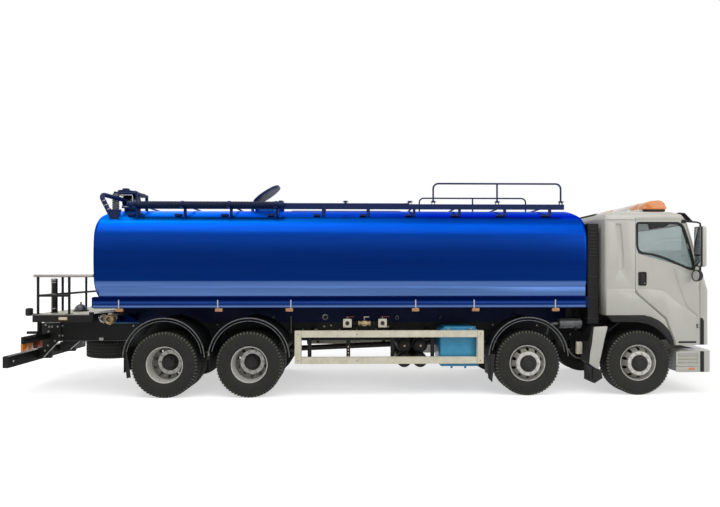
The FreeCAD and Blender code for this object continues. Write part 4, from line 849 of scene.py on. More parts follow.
# forward, radius
LOW_MIRROR = [
    (0.045, 0.001), (0.04, 0.06), (0.02, 0.085), (-0.035, 0.098), (-0.045, 0.096), (-0.045, 0.088),
    (-0.036, 0.086), (-0.036, 0.001)]


def oblong(left, low, right, high):
    return [(left, low), (right, low), (right, high), (left, high)]


# name, finish, outline, how far it stands out, depth, bevel, body, slot
SIDE_PANELS = (
    ("rear_flare", "cab_white_painted_shade", REAR_FLARE, 0.013, 0.016, 0.007, "cab", "cab_paint"),
    ("door_flare", "cab_white_painted_shade", DOOR_FLARE, 0.02, 0.024, 0.016, "door_{}", "cab_paint"),
    ("door_facet", "cab_white_painted_shade", softened(DOOR_FACET, 0.02, 2), 0.008, 0.012, 0.0075, "door_{}", "cab_paint"),
    ("arch_trim", "plastic_black", ARCH_OUTER + ARCH_INNER[::-1], 0.016, 0.05, 0.005, "cab", "black_plastic"),
    ("window_shade", "plastic_black", softened(SHADE, 0.03), 0.004, 0.008, 0.003, "door_{}", "black_plastic"),
    ("sill_slot", "seal_rubber", softened(oblong(0.622, 0.872, 0.919, 0.904), 0.01, 2), 0.022, 0.006, 0.002,
    "door_{}", "black_plastic"),
    ("nose_strip", "plastic_black", NOSE_STRIP, 0.012, 0.03, 0.004, "cab", "black_plastic"),
    ("roof_gutter", "cab_white_painted_shade", GUTTER, 0.01, 0.016, 0.004, "cab", "cab_paint"),
    ("bumper_lip", "cab_white_painted_shade", LIP, 0.008, 0.01, 0.003, "chassis", "cab_paint"),
    ("corner_strip", "plastic_black", oblong(1.0, 0.395, 1.058, 0.735), 0.01, 0.022, 0.004, "chassis",
    "black_plastic"),
)


def cab_skin():
    """Shell with a groove in each rear quarter and softened edges, and both doors' skins."""
    shell = cad_copy("cab_shell", "cab_white_painted_shade")
    bevel_edges(
        shell, lambda place,
        run: place.x < AXLE_1 - 0.56 and abs(place.y) > 1.15 and place.z > 1.4 and abs(run.z) > 0.5 * run.length,
        0.045, 5, 60)
    cutter = plate("cab_white_painted_shade", cab_outline(softened(GROOVE, 0.03), -1.26), (0, 1, 0), 0.062, 0)
    for side in (cutter, copy_of(cutter, MIRROR)):
        cut(shell, side)
    bevel_edges(
        shell, lambda place,
        run: AXLE_1 - 0.45 < place.x < AXLE_1 - 0.25 and 2.0 < place.z < 2.86 and abs(place.y) > 1.19, 0.012, 3,
        50)
    finish_piece("cab_body_shell", smooth(shell, 48), "cab", "cab_paint", "cab_shell")
    for side, _ in SIDES:
        door = f"door_{side}"
        finish_piece(f"{door}_panel", smooth(cad_copy(door, "cab_white_painted_shade"), 30), door, "cab_paint", door)


def side_panels():
    """Flat pieces on the cab's sides, mirrored to the left: flares, trims, strips and gutters."""
    for name, finish, outline, out, depth, bevel, bodies, slot in SIDE_PANELS:
        both_sides(name + "_{}", side_panel(finish, outline, -CAB_SIDE - out, depth, bevel), bodies, slot)
    outer = softened(WINDOW_EDGE, 0.06)
    both_sides(
        "window_frame_{}",
        side_frame("seal_rubber", outer, shrunk(outer, 0.036), -CAB_SIDE - 0.006, 0.03), "door_{}",
        "black_plastic")


def door_handles():
    face = -CAB_SIDE
    bezel = softened(oblong(-0.036, 1.818, 0.1, 2.046), 0.03)
    both_sides("door_handle_{}", [
        side_frame("plastic_black", bezel, shrunk(bezel, 0.018), face - 0.01, 0.014),
        side_panel("seal_rubber", shrunk(bezel, 0.014), face - 0.002, 0.004, 0),
        side_panel("plastic_black", softened(oblong(-0.008, 1.85, 0.052, 2.015), 0.015), face - 0.014, 0.01),
        rod("bare_steel", (AXLE_1 + 0.075, face - 0.001, 1.86), (AXLE_1 + 0.075, face - 0.006, 1.86), 0.009, 0.001,
        20),
    ], "door_{}", "black_plastic")


def front_at(height):
    """Distance of the cab's front from the first axle at a height."""
    for (low, near), (high, far) in zip(FRONT_LINE, FRONT_LINE[1:]):
        if low <= height <= high:
            return near + (far - near) * (height - low) / (high - low)
    return FRONT_LINE[-1][1]


def on_nose(y, z, off, front=None):
    """Point on the cab's bowed front at y, z, moved forward by off."""
    sag = NOSE_RADIUS - math.sqrt(NOSE_RADIUS ** 2 - y * y)
    return Vector((AXLE_1 + (front_at(z) if front is None else front) - sag + off, y, z))


def bowed(finish, front, half_width, low, high, ahead, behind, bevel=0.004, steps=16):
    """Bar that follows the cab's bowed front, from low to high, between two offsets from its face."""
    def edge(offset, order):
        return [on_nose(half_width * (2 * step / steps - 1), low, offset, front) for step in order]
    outline = edge(ahead, range(steps + 1)) + edge(-behind, range(steps, -1, -1))
    return plate(finish, outline, (0, 0, 1), high - low, bevel)


def cab_front():
    """Windscreen surround, wipers, grille, seam and visor."""
    finish_piece("windscreen_surround", [
        bowed("seal_rubber", front_at(2.1), 0.98, 2.075, 2.135, 0.01, 0.03),
        bowed("seal_rubber", front_at(2.86), 0.98, 2.835, 2.875, 0.008, 0.03),
    ] + [rod("seal_rubber", on_nose(y, 2.08, 0.002), on_nose(y, 2.87, 0.002), 0.035, 0.004, 16) for y in (-1.03,
    1.03)], "cab", "black_plastic")
    wipers = []
    for pivot, tip in ((-0.55, -0.02), (0.1, 0.62)):
        middle = (pivot + tip) / 2
        wipers.append(rod("plastic_black", on_nose(pivot, 2.09, -0.02), on_nose(pivot, 2.09, 0.05), 0.016))
        for finish, radius, points in (
                ("plastic_black", 0.009, ((pivot, 2.1, 0.035), (middle, 2.15, 0.045), (tip - 0.08, 2.2, 0.035))),
                (
                    "seal_rubber", 0.01,
                    ((pivot - 0.02, 2.165, 0.014), (middle, 2.19, 0.014), (tip + 0.12, 2.23, 0.014)))):
            wipers.append(pipe(finish, [on_nose(*point) for point in points], radius, smooth_path=True))
    finish_piece("wipers", wipers, "cab", "black_plastic")
    grille = [bowed("seal_rubber", NOSE, 0.7, 1.02, 1.66, 0.004, 0.01)]
    for index, finish in enumerate(["plastic_black"] * 4 + ["bare_steel"]):
        low = 1.05 + index * 0.122
        grille.append(bowed(finish, NOSE, 0.68, low, low + 0.062, 0.026, 0.002, 0.008))
    for y in (-0.69, 0.69):
        grille += blocks(
            on_nose(y, 0, 0, NOSE),
            ("plastic_black", (-0.01, -0.02, 1.02), (0.025, 0.02, 1.66), 0.006))
    finish_piece("grille", grille, "cab", "black_plastic")
    finish_piece(
        "nose_seam",
        bowed("seal_rubber", front_at(1.8), 0.98, 1.795, 1.807, 0.004, 0.01, 0.001), "cab", "black_plastic")
    finish_piece(
        "sun_visor",
        [plate("plastic_black", cab_outline(VISOR, -1.02), (0, 1, 0), 2.04)] + [rod(
            "plastic_black", (AXLE_1 + 0.8, y, 2.93), (AXLE_1 + 0.88, y, 3.03), 0.012)
            for y in (-0.9, -0.3, 0.3, 0.9)], "cab", "black_plastic")


def step_boxes():
    """Step in each end of the bumper, its reflector, the head lamps and a blank number plate."""
    edge = oblong(0.59, 0.488, 0.985, 0.728)
    opening = shrunk(edge, 0.028)
    both_sides("step_box_{}", [
        side_frame("cab_white_painted_shade", softened(edge, 0.02, 3), softened(opening, 0.012, 3), -CAB_SIDE - 0.012, 0.012,
        0.004),
        side_panel("cab_white_painted_shade", opening, -CAB_SIDE - 0.0015, 0.003, 0),
    ] + [bar for z in (0.545, 0.6, 0.655) for bar in blocks((AXLE_1, -CAB_SIDE, z),
    ("deck_steel", (0.63, -0.009, 0), (0.945, 0, 0.016), 0.003))], "chassis", "cab_paint")
    cab = (AXLE_1, 0, 0)
    both_sides(
        "side_reflector_{}",
        blocks(cab, ("amber_lens", (0.8, -1.234, 0.432), (0.905, -1.224, 0.462), 0.004)), "chassis", "lamp_amber")
    bowl = [(0.0, 0.001), (0.012, 0.06), (0.0, 0.088), (-0.05, 0.088), (-0.05, 0.001)]
    both_sides(
        "head_lamp_{}",
        blocks(
            cab,
            ("plastic_black", (1.2, -1.0, 0.465), (1.302, -0.6, 0.685), 0.02),
            ("amber_lens", (1.22, -0.98, 0.5), (1.285, -0.86, 0.65), 0.01)) + [lathe_x(
            "clear_lens", bowl, (AXLE_1 + 1.318, -0.72, 0.575))], "chassis", "lamp_clear")
    finish_piece(
        "front_plate",
        blocks(
            cab,
            ("plastic_black", (1.345, -0.27, 0.485), (1.352, 0.27, 0.625), 0.003),
            ("cab_white_painted_shade", (1.35, -0.26, 0.495), (1.356, 0.26, 0.615), 0.002)), "chassis", "black_plastic")


def mirrors():
    """Tall housing with glass behind, a small round mirror below, and a bent arm to the door."""
    low_mirror = (AXLE_1 + 0.87, -1.358, 1.985)
    parts = [pipe("plastic_black", [(AXLE_1 + x, y, z) for x, y, z in MIRROR_ARM], 0.014)]
    for x, z in ((0.715, 2.88), (0.926, 2.003)):
        parts += blocks(
            (AXLE_1 + x, 0, z),
            ("plastic_black", (-0.035, -1.236, -0.03), (0.035, -1.216, 0.03), 0.008))
    parts += blocks(
        (AXLE_1, 0, 0),
        ("cab_white_painted_shade", (0.872, -1.455, 2.125), (0.955, -1.275, 2.785), 0.035),
        ("plastic_black", (0.848, -1.45, 2.13), (0.885, -1.28, 2.78), 0.012))
    parts += [
        lathe_x("plastic_black", LOW_MIRROR, low_mirror),
        lathe_x("mirror_glass", [(-0.034, 0.001), (-0.034, 0.085), (-0.04, 0.08), (-0.043, 0.001)], low_mirror),
        rod("plastic_black", (AXLE_1 + 0.895, -1.36, 2.09), (AXLE_1 + 0.885, -1.36, 2.02), 0.012)]
    for low, high in ((2.33, 2.765), (2.145, 2.305)):
        parts += blocks((AXLE_1, 0, 0), ("mirror_glass", (0.8455, -1.438, low), (0.8505, -1.292, high), 0.001))
    both_sides("mirror_{}_parts", parts, "door_{}", "black_plastic", "mirror_{}")


def light_bar():
    """Row of lens sections with amber ends on a plinth, its feet, and the fairing behind the visor."""
    low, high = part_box("light_bar")
    middle, foot = (low.x + high.x) / 2, low.z + 0.035
    outline = softened([(x, foot + rise) for x, rise in LENS_RISE], 0.03, 3)
    parts = [block(
        "plastic_black", (middle - 0.165, -0.86, foot - 0.002), (middle + 0.165, 0.86, foot + 0.038), 0.012)]
    for finish, start, end in (
            ("amber_lens", -0.868, -0.56), ("amber_lens", 0.56, 0.868), ("amber_lens", -0.552, -0.36),
            ("amber_lens", 0.36, 0.552), ("clear_lens", -0.352, 0.352)):
        parts.append(plate(
            finish,
            [Vector((middle + x, start, z)) for x, z in outline], (0, 1, 0), end - start, 0.008))
    for y in (-0.6, 0.6):
        parts.append(block(
            "plastic_black", (middle - 0.05, y - 0.045, low.z - 0.001), (middle + 0.05, y + 0.045, foot + 0.004),
            0.006))
    finish_piece("light_bar_lenses", parts, "cab", "lamp_clear", "light_bar")
    finish_piece(
        "fairing",
        plate("cab_white_painted_shade", cab_outline(FAIRING, -0.8), (0, 1, 0), 1.6, 0.012), "cab", "cab_paint")


def cushion(length, width, thick, crown, pull, place):
    """Crowned pad, flat underneath, whose sides pull in between its corners; place sets it on the seat."""
    item = block("cloth_grey", (0, 0, 0), (length, width, thick), 0)
    edit(item, "SELECT")
    bpy.ops.mesh.subdivide(number_cuts=11)
    leave()
    for vertex in item.data.vertices:
        u, v, w = (2 * vertex.co[index] / size - 1 for index, size in enumerate((length, width, thick)))
        share = max(0.0, (w + 1) / 2)
        vertex.co.x -= pull * u * (1 - v * v) * share + 0.01 * u * (1 - share)
        vertex.co.y -= pull * v * (1 - u * u) * share + 0.01 * v * (1 - share)
        channel = 0.006 * sum(math.exp(-((v - line) / 0.06) ** 2) for line in (-0.42, 0.42))
        vertex.co.z += share * (crown * (1 - u * u) * (1 - v * v) - channel * (1 - u ** 4))
    apply_modifier(item, "SUBSURF", levels=1, render_levels=1)
    item.data.transform(place)
    return smooth(item, 60)


def piping(length, width, height, place):
    """Welt round a pad's upper edge."""
    ends = (-1, -0.5, 0, 0.5)
    loop = []
    for u, v in [(-1, t) for t in ends] + [(t, 1) for t in ends] + [(1, -t) for t in ends] + [
            (-t, -1) for t in ends]:
        x = length / 2 * (1 + u) - 0.014 * u * (1 - v * v) - 0.003 * u
        y = width / 2 * (1 + v) - 0.014 * v * (1 - u * u) - 0.003 * v
        loop.append(place @ Vector((x, y, height)))
    return pipe("seal_rubber", loop, 0.0035, cyclic=True, resolution=2)


def cab_interior():
    """Seat frames with their buckles under crowned, welted cushions and backs."""
    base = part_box("seats")[0].z
    frames, seams = [], []
    for side, sign in SIDES:
        y0, y1 = sorted((0.52 * sign, 1.02 * sign))
        frames += blocks(
            (AXLE_1, 0, 0),
            ("plastic_black", (-0.18, y0 + 0.03, base), (0.22, y1 - 0.03, 1.73), 0.02),
            ("plastic_black", (-0.25, y0 + 0.01, 1.7), (0.28, y1 - 0.01, 1.738), 0.012))
        frames.append(rod(
            "plastic_black", (AXLE_1 - 0.26, y0 + 0.002, 1.8), (AXLE_1 - 0.26, y1 - 0.002, 1.8), 0.05, 0.004))
        for y in (y0 + 0.004, y1 - 0.016):
            frames += blocks((AXLE_1, y, 0), ("handle_red", (-0.16, 0, 1.75), (-0.12, 0.012, 1.8), 0.004))
        flat = Matrix.Translation((AXLE_1 - 0.232, y0 + 0.01, 1.738))
        lean = Matrix(((-0.14, 0, 0.99, AXLE_1 - 0.312), (0, -1, 0, y1 - 0.02), (0.99, 0, 0.14, 1.8), (0, 0, 0, 1)))
        for part, length, width, thick, crown, pull, place in (
                ("cushion", 0.52, 0.48, 0.1, 0.026, 0.014, flat), ("back", 0.66, 0.46, 0.09, 0.022, 0.016, lean)):
            pad = cushion(length, width, thick, crown, pull, place)
            finish_piece(f"seat_{part}_{side}", pad, "cab", "cloth")
            seams.append(piping(length, width, thick - 0.008, place))
    finish_piece("seat_frames", frames, "cab", "black_plastic", "seats")
    finish_piece("seat_piping", seams, "cab", "cloth")


# ---------------------------------------------------------------- tank
TANK_LOW, TANK_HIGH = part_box("tank_shell")
TANK_REAR, TANK_LENGTH = TANK_LOW.x, TANK_HIGH.x - TANK_LOW.x
TANK_TOP = 3.16
WALKWAY_PADS = 10
# outlines of (y, z)
TRAY = [
    (-1.15, 1.641), (-1.19, 1.639), (-1.204, 1.628), (-1.205, 1.572), (-1.2085, 1.558), (-1.206, 1.54),
    (-1.2065, 1.5), (-1.211, 1.487), (-1.2075, 1.466), (-1.192, 1.451), (-1.15, 1.447), (-1.15, 1.455),
    (-1.188, 1.459), (-1.199, 1.47), (-1.199, 1.622), (-1.187, 1.633), (-1.15, 1.635)]
SKIRT = [(-1.158, 1.806), (-1.165, 1.795), (-1.1665, 1.7), (-1.162, 1.632), (-1.154, 1.632), (-1.158, 1.7)]
# share of the tank's length, shift of the stem
MARKERS = ((0.0545, -0.004), (0.252, -0.014), (0.393, 0.026), (0.647, 0.0), (0.769, -0.03), (0.932, -0.012))
# up, radius
PUMP_CAP = [
    (-0.022, 0.001), (-0.022, 0.1385), (0.01, 0.1385), (0.036, 0.128), (0.05, 0.105), (0.056, 0.062),
    (0.084, 0.058), (0.0895, 0.045), (0.0895, 0.001)]


def along_tank(finish, outline, start, end, bevel):
    """Outline of (y, z) drawn out along the tank, from start behind its rear end to end short of its front."""
    return plate(
        finish,
        [Vector((TANK_REAR + start, y, z)) for y, z in outline], (1, 0, 0), TANK_LENGTH - end, bevel)


def trays():
    """Folded trim along each side with a rounded rear end, and amber markers on bright stems."""
    # the tray paint carries painted highlight lines and painted reflections by height
    tray = along_tank("tray_blue", TRAY, 0.02, 0.083, 0)
    both_sides("tank_skirt_{}", along_tank("tank_blue", SKIRT, 0.1, 0.145, 0.002), "chassis", "tank_paint")
    end = block("tray_blue", (TANK_REAR - 0.014, -1.2105, 1.449), (TANK_REAR + 0.12, -1.095, 1.641), 0.052)
    both_sides("tray_{}", [smooth(tray, 50), end], "chassis", "tank_paint")
    lamp = blocks(
        (0, 0, 0),
        ("marker_amber", (-0.06, -1.209, 1.398), (0.06, -1.172, 1.4525), 0.009),
        ("plastic_black", (-0.065, -1.176, 1.394), (0.065, -1.16, 1.4585), 0.004))
    for x in (-0.032, 0.0, 0.032):
        lamp.append(block("marker_amber", (x - 0.004, -1.2115, 1.405), (x + 0.004, -1.206, 1.446), 0.0018))
    stem = blocks(
        (0, 0, 0),
        ("clear_lens", (-0.009, -1.215, 1.452), (0.009, -1.2085, 1.59), 0.003),
        ("bare_steel", (-0.014, -1.216, 1.448), (0.014, -1.2075, 1.47), 0.003))
    lamps = row_of(joined(lamp), [(TANK_REAR + TANK_LENGTH * share, 0, 0) for share, _ in MARKERS])
    stems = row_of(joined(stem), [(TANK_REAR + TANK_LENGTH * share + shift, 0, 0) for share, shift in MARKERS])
    both_sides("side_markers_{}", lamps, "chassis", "lamp_amber", "lamps")
    both_sides("marker_stems_{}", stems, "chassis", "steel")


def tank_fittings():
    """Rear cover with its bolts, and the level glass between its guards."""
    profile = [
        (0.004, 0.001), (0.004, 0.255), (-0.016, 0.255), (-0.02, 0.248), (-0.02, 0.17), (-0.034, 0.15),
        (-0.038, 0.001)]
    finish_piece(
        "rear_cover",
        [
            lathe_x("tank_blue", profile, (TANK_REAR, -0.3, 1.95)),
            row_of(
                bolt("bare_steel", (-1, 0, 0)),
                [(TANK_REAR - 0.018, -0.3 + y, 1.95 + z) for y, z in around(16, 0.215)])], "chassis",
        "tank_paint")
    x, y = TANK_REAR - 0.055, 0.95
    glass = [rod("clear_lens", (x, y, 1.75), (x, y, 2.85), 0.016)]
    for z in (1.73, 2.87):
        glass += [
            rod("brass", (TANK_REAR + 0.004, y, z), (x, y, z), 0.02, 0.004),
            rod("brass", (x, y, z - 0.03), (x, y, z + 0.03), 0.026, 0.004)]
    for offset in (-0.032, 0.032):
        glass.append(rod("navy_steel", (x, y + offset, 1.73), (x, y + offset, 2.87), 0.006))
    finish_piece("level_glass", glass, "chassis", "steel")


def ridges(start, end, step, form):
    """Profile points of one ridge repeated from start until end."""
    out = []
    while start < end:
        out += [(start + along, radius) for along, radius in form]
        start += step
    return out


def hose():
    """Ribbed suction hose in its saddles, with a bound cuff at each end and four straps."""
    low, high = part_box("suction_hose")
    middle = (low + high) / 2
    radius = (high.z - low.z) / 2
    centre = (0, middle.y, middle.z)
    pitch = 0.026
    ridge = (
        (0, radius - 0.0075), (pitch * 0.28, radius - 0.0005), (pitch * 0.62, radius - 0.0005),
        (pitch * 0.9, radius - 0.0075))
    parts = [lathe_x(
        "hose_rubber",
        [(low.x + 0.1, 0.001), (low.x + 0.1, radius - 0.008)] + ridges(
            low.x + 0.11, high.x - 0.12, pitch, ridge) + [(high.x - 0.1, radius - 0.008), (high.x - 0.1, 0.001)],
        centre, 28)]
    cuff = (
        (0, 0.004), (0.012, 0.001), (0.03, 0.001), (0.034, 0.008), (0.076, 0.008), (0.08, 0.001), (0.098, 0.001),
        (0.11, 0.004))
    for start, end in ((low.x, low.x + 0.11), (high.x - 0.11, high.x)):
        profile = [(start, 0.001)] + [(start + along, radius - depth) for along, depth in cuff] + [(end, 0.001)]
        parts.append(lathe_x("navy_steel", profile, centre, 40))
    finish_piece("ribbed_hose", smooth(joined(parts), 50), "chassis", "hose_rubber", "suction_hose")
    band = [(-0.022, radius + 0.0005), (-0.022, radius + 0.006), (0.022, radius + 0.006), (0.022, radius + 0.0005)]
    strap = joined([
        block(
            "navy_steel", (-0.03, middle.y - 0.085, low.z - 0.02), (0.03, middle.y + 0.075, low.z + 0.006), 0.003),
        lathe_x("navy_steel", band, centre, 36)])
    finish_piece(
        "hose_straps",
        row_of(strap, [(low.x + 0.13 + 0.78 * index, 0, 0) for index in range(4)]), "chassis", "navy_steel")


def pump_and_cage():
    """Finned motor, framed panel, ribbed column and domed cap of the pump, its cage's bolts, and pipe bands."""
    x0, x1 = TANK_REAR + 0.06, TANK_REAR + 0.44
    top = TANK_TOP + 0.29
    fins = ((0, 0.102), (0, 0.112), (0.006, 0.112), (0.006, 0.102))
    motor = [(x0 + 0.066, 0.001), (x0 + 0.066, 0.1)] + ridges(x0 + 0.075, x1 - 0.085, 0.016, fins) + [
        (x1 - 0.066, 0.1), (x1 - 0.066, 0.001)]
    parts = [
        lathe_x("navy_steel", motor, (0, -0.28, TANK_TOP + 0.14), 40),
        lathe(
            "edge_steel",
            [(0.0, 0.001), (0.0, 0.05), (-0.008, 0.058), (-0.026, 0.06), (-0.026, 0.001)],
            (x0 + 0.25, -0.392, TANK_TOP + 0.145), 40)]
    parts += blocks(
        (x1, 0, TANK_TOP),
        ("clear_lens", (-0.255, -0.54, 0.02), (-0.06, -0.53, 0.032), 0.002),
        ("clear_lens", (-0.255, -0.54, 0.225), (-0.06, -0.53, 0.237), 0.002),
        ("clear_lens", (-0.072, -0.54, 0.02), (-0.06, -0.53, 0.237), 0.002),
        ("navy_steel", (-0.26, -0.531, 0), (-0.04, -0.515, 0.05), 0.004))
    rib = ((0, 0.05), (0.006, 0.06), (0.018, 0.06), (0.024, 0.05))
    column = [(0.0, 0.001), (0.0, 0.05)] + ridges(0.012, 0.27, 0.03, rib) + [(0.3, 0.05), (0.3, 0.001)]
    parts += [
        lathe_z("edge_steel", column, (x0 + 0.045, -0.585, TANK_TOP - 0.055), 32),
        lathe_z("navy_steel", PUMP_CAP, (x0 + 0.095, -0.29, top)),
        block("navy_steel", (x0 - 0.015, -0.545, top - 0.045), (x1, -0.04, top - 0.004), 0.02)]
    parts.append(row_of(
        bolt("bare_steel", (0, 0, 1), 0.01, 0.008),
        [(x, y, top) for x in (x0, x1) for y in (-0.52, -0.06)]))
    finish_piece("pump_details", smooth(joined(parts), 45), "chassis", "navy_steel")
    band = lathe("bare_steel", [(0.006, 0.0395), (0.006, 0.0425), (-0.006, 0.0425), (-0.006, 0.0395)], steps=32)
    foot, head = Vector((TANK_REAR + 0.272, -0.985, TANK_TOP - 0.275)), Vector((
        TANK_REAR + 0.075, -0.985, TANK_TOP + 0.095))
    run = (head - foot).normalized()
    band.data.transform(run.to_track_quat("Y", "Z").to_matrix().to_4x4())
    finish_piece("pipe_bands", row_of(band, [foot + run * step for step in (0.22, 0.3, 0.38)]), "chassis", "steel")


def walkway_parts():
    """Pads where the walkway stands on the tank, and hinge pins of the folding rails."""
    pads = [(TANK_REAR + 0.525 + 0.775 * index, 0, 0) for index in range(WALKWAY_PADS)]
    both_sides(
        "walkway_pads_{}",
        row_of(block("navy_steel", (-0.055, -0.955, 2.985), (0.055, -0.845, 3.02)), pads), "chassis",
        "navy_steel")
    pin = joined([
        rod("bare_steel", (-0.045, -0.87, 3.24), (0.045, -0.87, 3.24), 0.0095, 0.002, 20),
        rod("bare_steel", (0.04, -0.87, 3.24), (0.05, -0.87, 3.24), 0.015, 0.002, 6)])
    both_sides(
        "hinge_pins_{}",
        row_of(pin, [(x, 0, 0) for x in (3.345, 2.25, 1.155, 0.755, -0.34, -1.435)]), "chassis", "steel")


# ---------------------------------------------------------------- chassis
RAIL_FACE = -0.43
RAIL_BOLTS = (
    -5.565, -5.418, -5.516, -5.59, -5.345, -4.1, -3.95, -2.62, -2.5, -0.72, -0.6, 0.42, 1.98, 2.3, 3.1, 3.55, 3.7)
AIR_LINES = (
    (
        (
            (-3.6, -0.452, 1.02), (-1.2, -0.452, 1.0), (-0.4, -0.455, 0.985), (0.5, -0.455, 0.99),
            (1.0, -0.47, 0.97)), 0.012),
    (((-3.4, -0.448, 0.96), (-1.2, -0.448, 0.93), (0.3, -0.45, 0.925), (2.2, -0.45, 0.93)), 0.009))
# outlines of (x, z)
LEG = [
    (-5.7, 1.145), (-5.357, 1.145), (-5.357, 0.822), (-5.406, 0.818), (-5.655, 0.545), (-5.775, 0.525),
    (-5.775, 0.64), (-5.7, 0.72)]
# pale strips along the diagonal edges of the leg and brace: painted highlights
LEG_HIGHLIGHT = [(-5.412, 0.82), (-5.398, 0.816), (-5.648, 0.541), (-5.664, 0.545)]
BRACE = [(-5.047, 0.815), (-5.2, 0.68), (-5.375, 0.655), (-5.38, 0.815)]
BRACE_HIGHLIGHT = [(-5.047, 0.818), (-5.033, 0.812), (-5.19, 0.674), (-5.205, 0.68)]
LEG_BOLTS = [
    (-5.565, 1.078), (-5.627, 1.11), (-5.418, 1.078), (-5.516, 1.078), (-5.578, 0.992), (-5.59, 0.922),
    (-5.59, 0.744), (-5.394, 0.922), (-5.47, 0.83), (-5.645, 0.655)]
FENDER = [
    (-0.775, 1.14), (-0.545, 1.151), (-0.6, 0.93), (-0.633, 0.768), (-0.68, 0.56), (-0.713, 0.441),
    (-0.849, 0.532), (-0.838, 0.7), (-0.804, 0.881)]
# outline, y, depth
FLAPS = (
    ([(3.607, 0.521), (3.88, 0.429), (3.903, 0.294), (3.767, 0.204)], -1.206, 0.012),
    ([(-3.921, 0.86), (-3.888, 0.86), (-3.822, 0.5), (-3.8, 0.34), (-3.868, 0.325)], -1.238, 0.01),
    ([(1.99, 0.695), (2.126, 0.694), (2.077, 0.225), (2.01, 0.3)], -1.196, 0.01))
GUARD_HEIGHT, GUARD_RADIUS = 0.64, 0.655
# profiles of (along or up, radius)
DOME = [(0.0, 0.001), (0.0, 0.104), (0.03, 0.103), (0.07, 0.088), (0.1, 0.062), (0.118, 0.03), (0.125, 0.001)]
DOME_RING = [(0.0, 0.09), (0.0, 0.122), (0.018, 0.122), (0.022, 0.112), (0.022, 0.09)]
VALVE = [
    (-0.1, 0.001), (-0.1, 0.046), (-0.082, 0.048), (-0.08, 0.034), (-0.05, 0.036), (-0.034, 0.05), (0.0, 0.056),
    (0.034, 0.05), (0.05, 0.036), (0.08, 0.034), (0.082, 0.048), (0.1, 0.046), (0.1, 0.001)]
COUPLING = [
    (0.0, 0.6), (0.02, 0.62), (0.026, 0.74), (0.018, 0.84), (0.028, 0.92), (0.02, 1), (-0.06, 1), (-0.08, 0.7)]
SPARE_DISH = [
    (0.0, 0.02), (0.0, 0.2), (0.05, 0.262), (0.15, 0.284), (0.262, 0.292), (0.268, 0.284), (0.16, 0.268),
    (0.06, 0.245), (0.012, 0.19), (0.012, 0.02)]
FILLER = [(0.0, 0.001), (0.0, 0.062), (0.02, 0.066), (0.045, 0.062), (0.052, 0.045), (0.052, 0.001)]


def outline_plate(finish, points, y, depth, bevel=0.003):
    return plate(finish, [Vector((x, y, z)) for x, z in points], (0, 1, 0), depth, bevel)


def rail_details():
    """Bolt rows, a lighter lower edge, rings, air lines and brackets along both rails."""
    places = [(x, RAIL_FACE - 0.0005, z + 0.02 * math.sin(x * 9)) for x in RAIL_BOLTS for z in (0.9, 1.075)]
    both_sides("rail_bolts_{}", row_of(bolt("bare_steel", (0, -1, 0), 0.011, 0.008), places), "chassis", "steel")
    rail = (0, RAIL_FACE, 0)
    both_sides(
        "rail_edges_{}",
        blocks(
            rail,
            ("edge_steel", (-5.6, -0.003, 0.821), (-2.62, 0, 0.829), 0.0012),
            ("edge_steel", (-1.25, -0.003, 0.821), (1.9, 0, 0.829), 0.0012)), "chassis", "steel")
    rings = []
    for x, z, radius in (
            (-0.704, 1.24, 0.052), (0.579, 1.228, 0.036), (1.349, 1.237, 0.022), (-1.62, 1.235, 0.022)):
        profile = [
            (0.0, radius * 0.62), (0.01, radius * 0.72), (0.014, radius * 0.9), (0.008, radius), (0.0, radius)]
        rings.append(lathe("wheel_silver", profile, (x, RAIL_FACE - 0.002, z), 40))
    both_sides("beam_rings_{}", smooth(joined(rings), 60), "chassis", "steel")
    lines = [pipe("plastic_black", points, radius, smooth_path=True) for points, radius in AIR_LINES]
    for x in (-1.1, -0.45, 0.2, 1.6):
        lines.append(block("edge_steel", (x - 0.012, -0.47, 0.905), (x + 0.012, -0.428, 1.035), 0.003))
    finish_piece("air_lines", lines, "chassis", "black_plastic")
    # the gussets' pale blue strip along their lower edge is a painted highlight
    both_sides(
        "tank_gussets_{}",
        [outline_plate(
            "tray_blue",
            [(-4.215, 1.315), (-3.952, 1.315), (-3.805, 1.19), (-4.215, 1.19)], -0.905, 0.012)] + blocks(
            (0, 0, 0),
            ("sky_blue", (-4.215, -0.912, 1.184), (-3.805, -0.88, 1.194), 0.003),
            ("beam_blue", (-4.05, -0.9, 1.188), (-4.03, RAIL_FACE, 1.315), 0.003)), "chassis", "navy_steel")


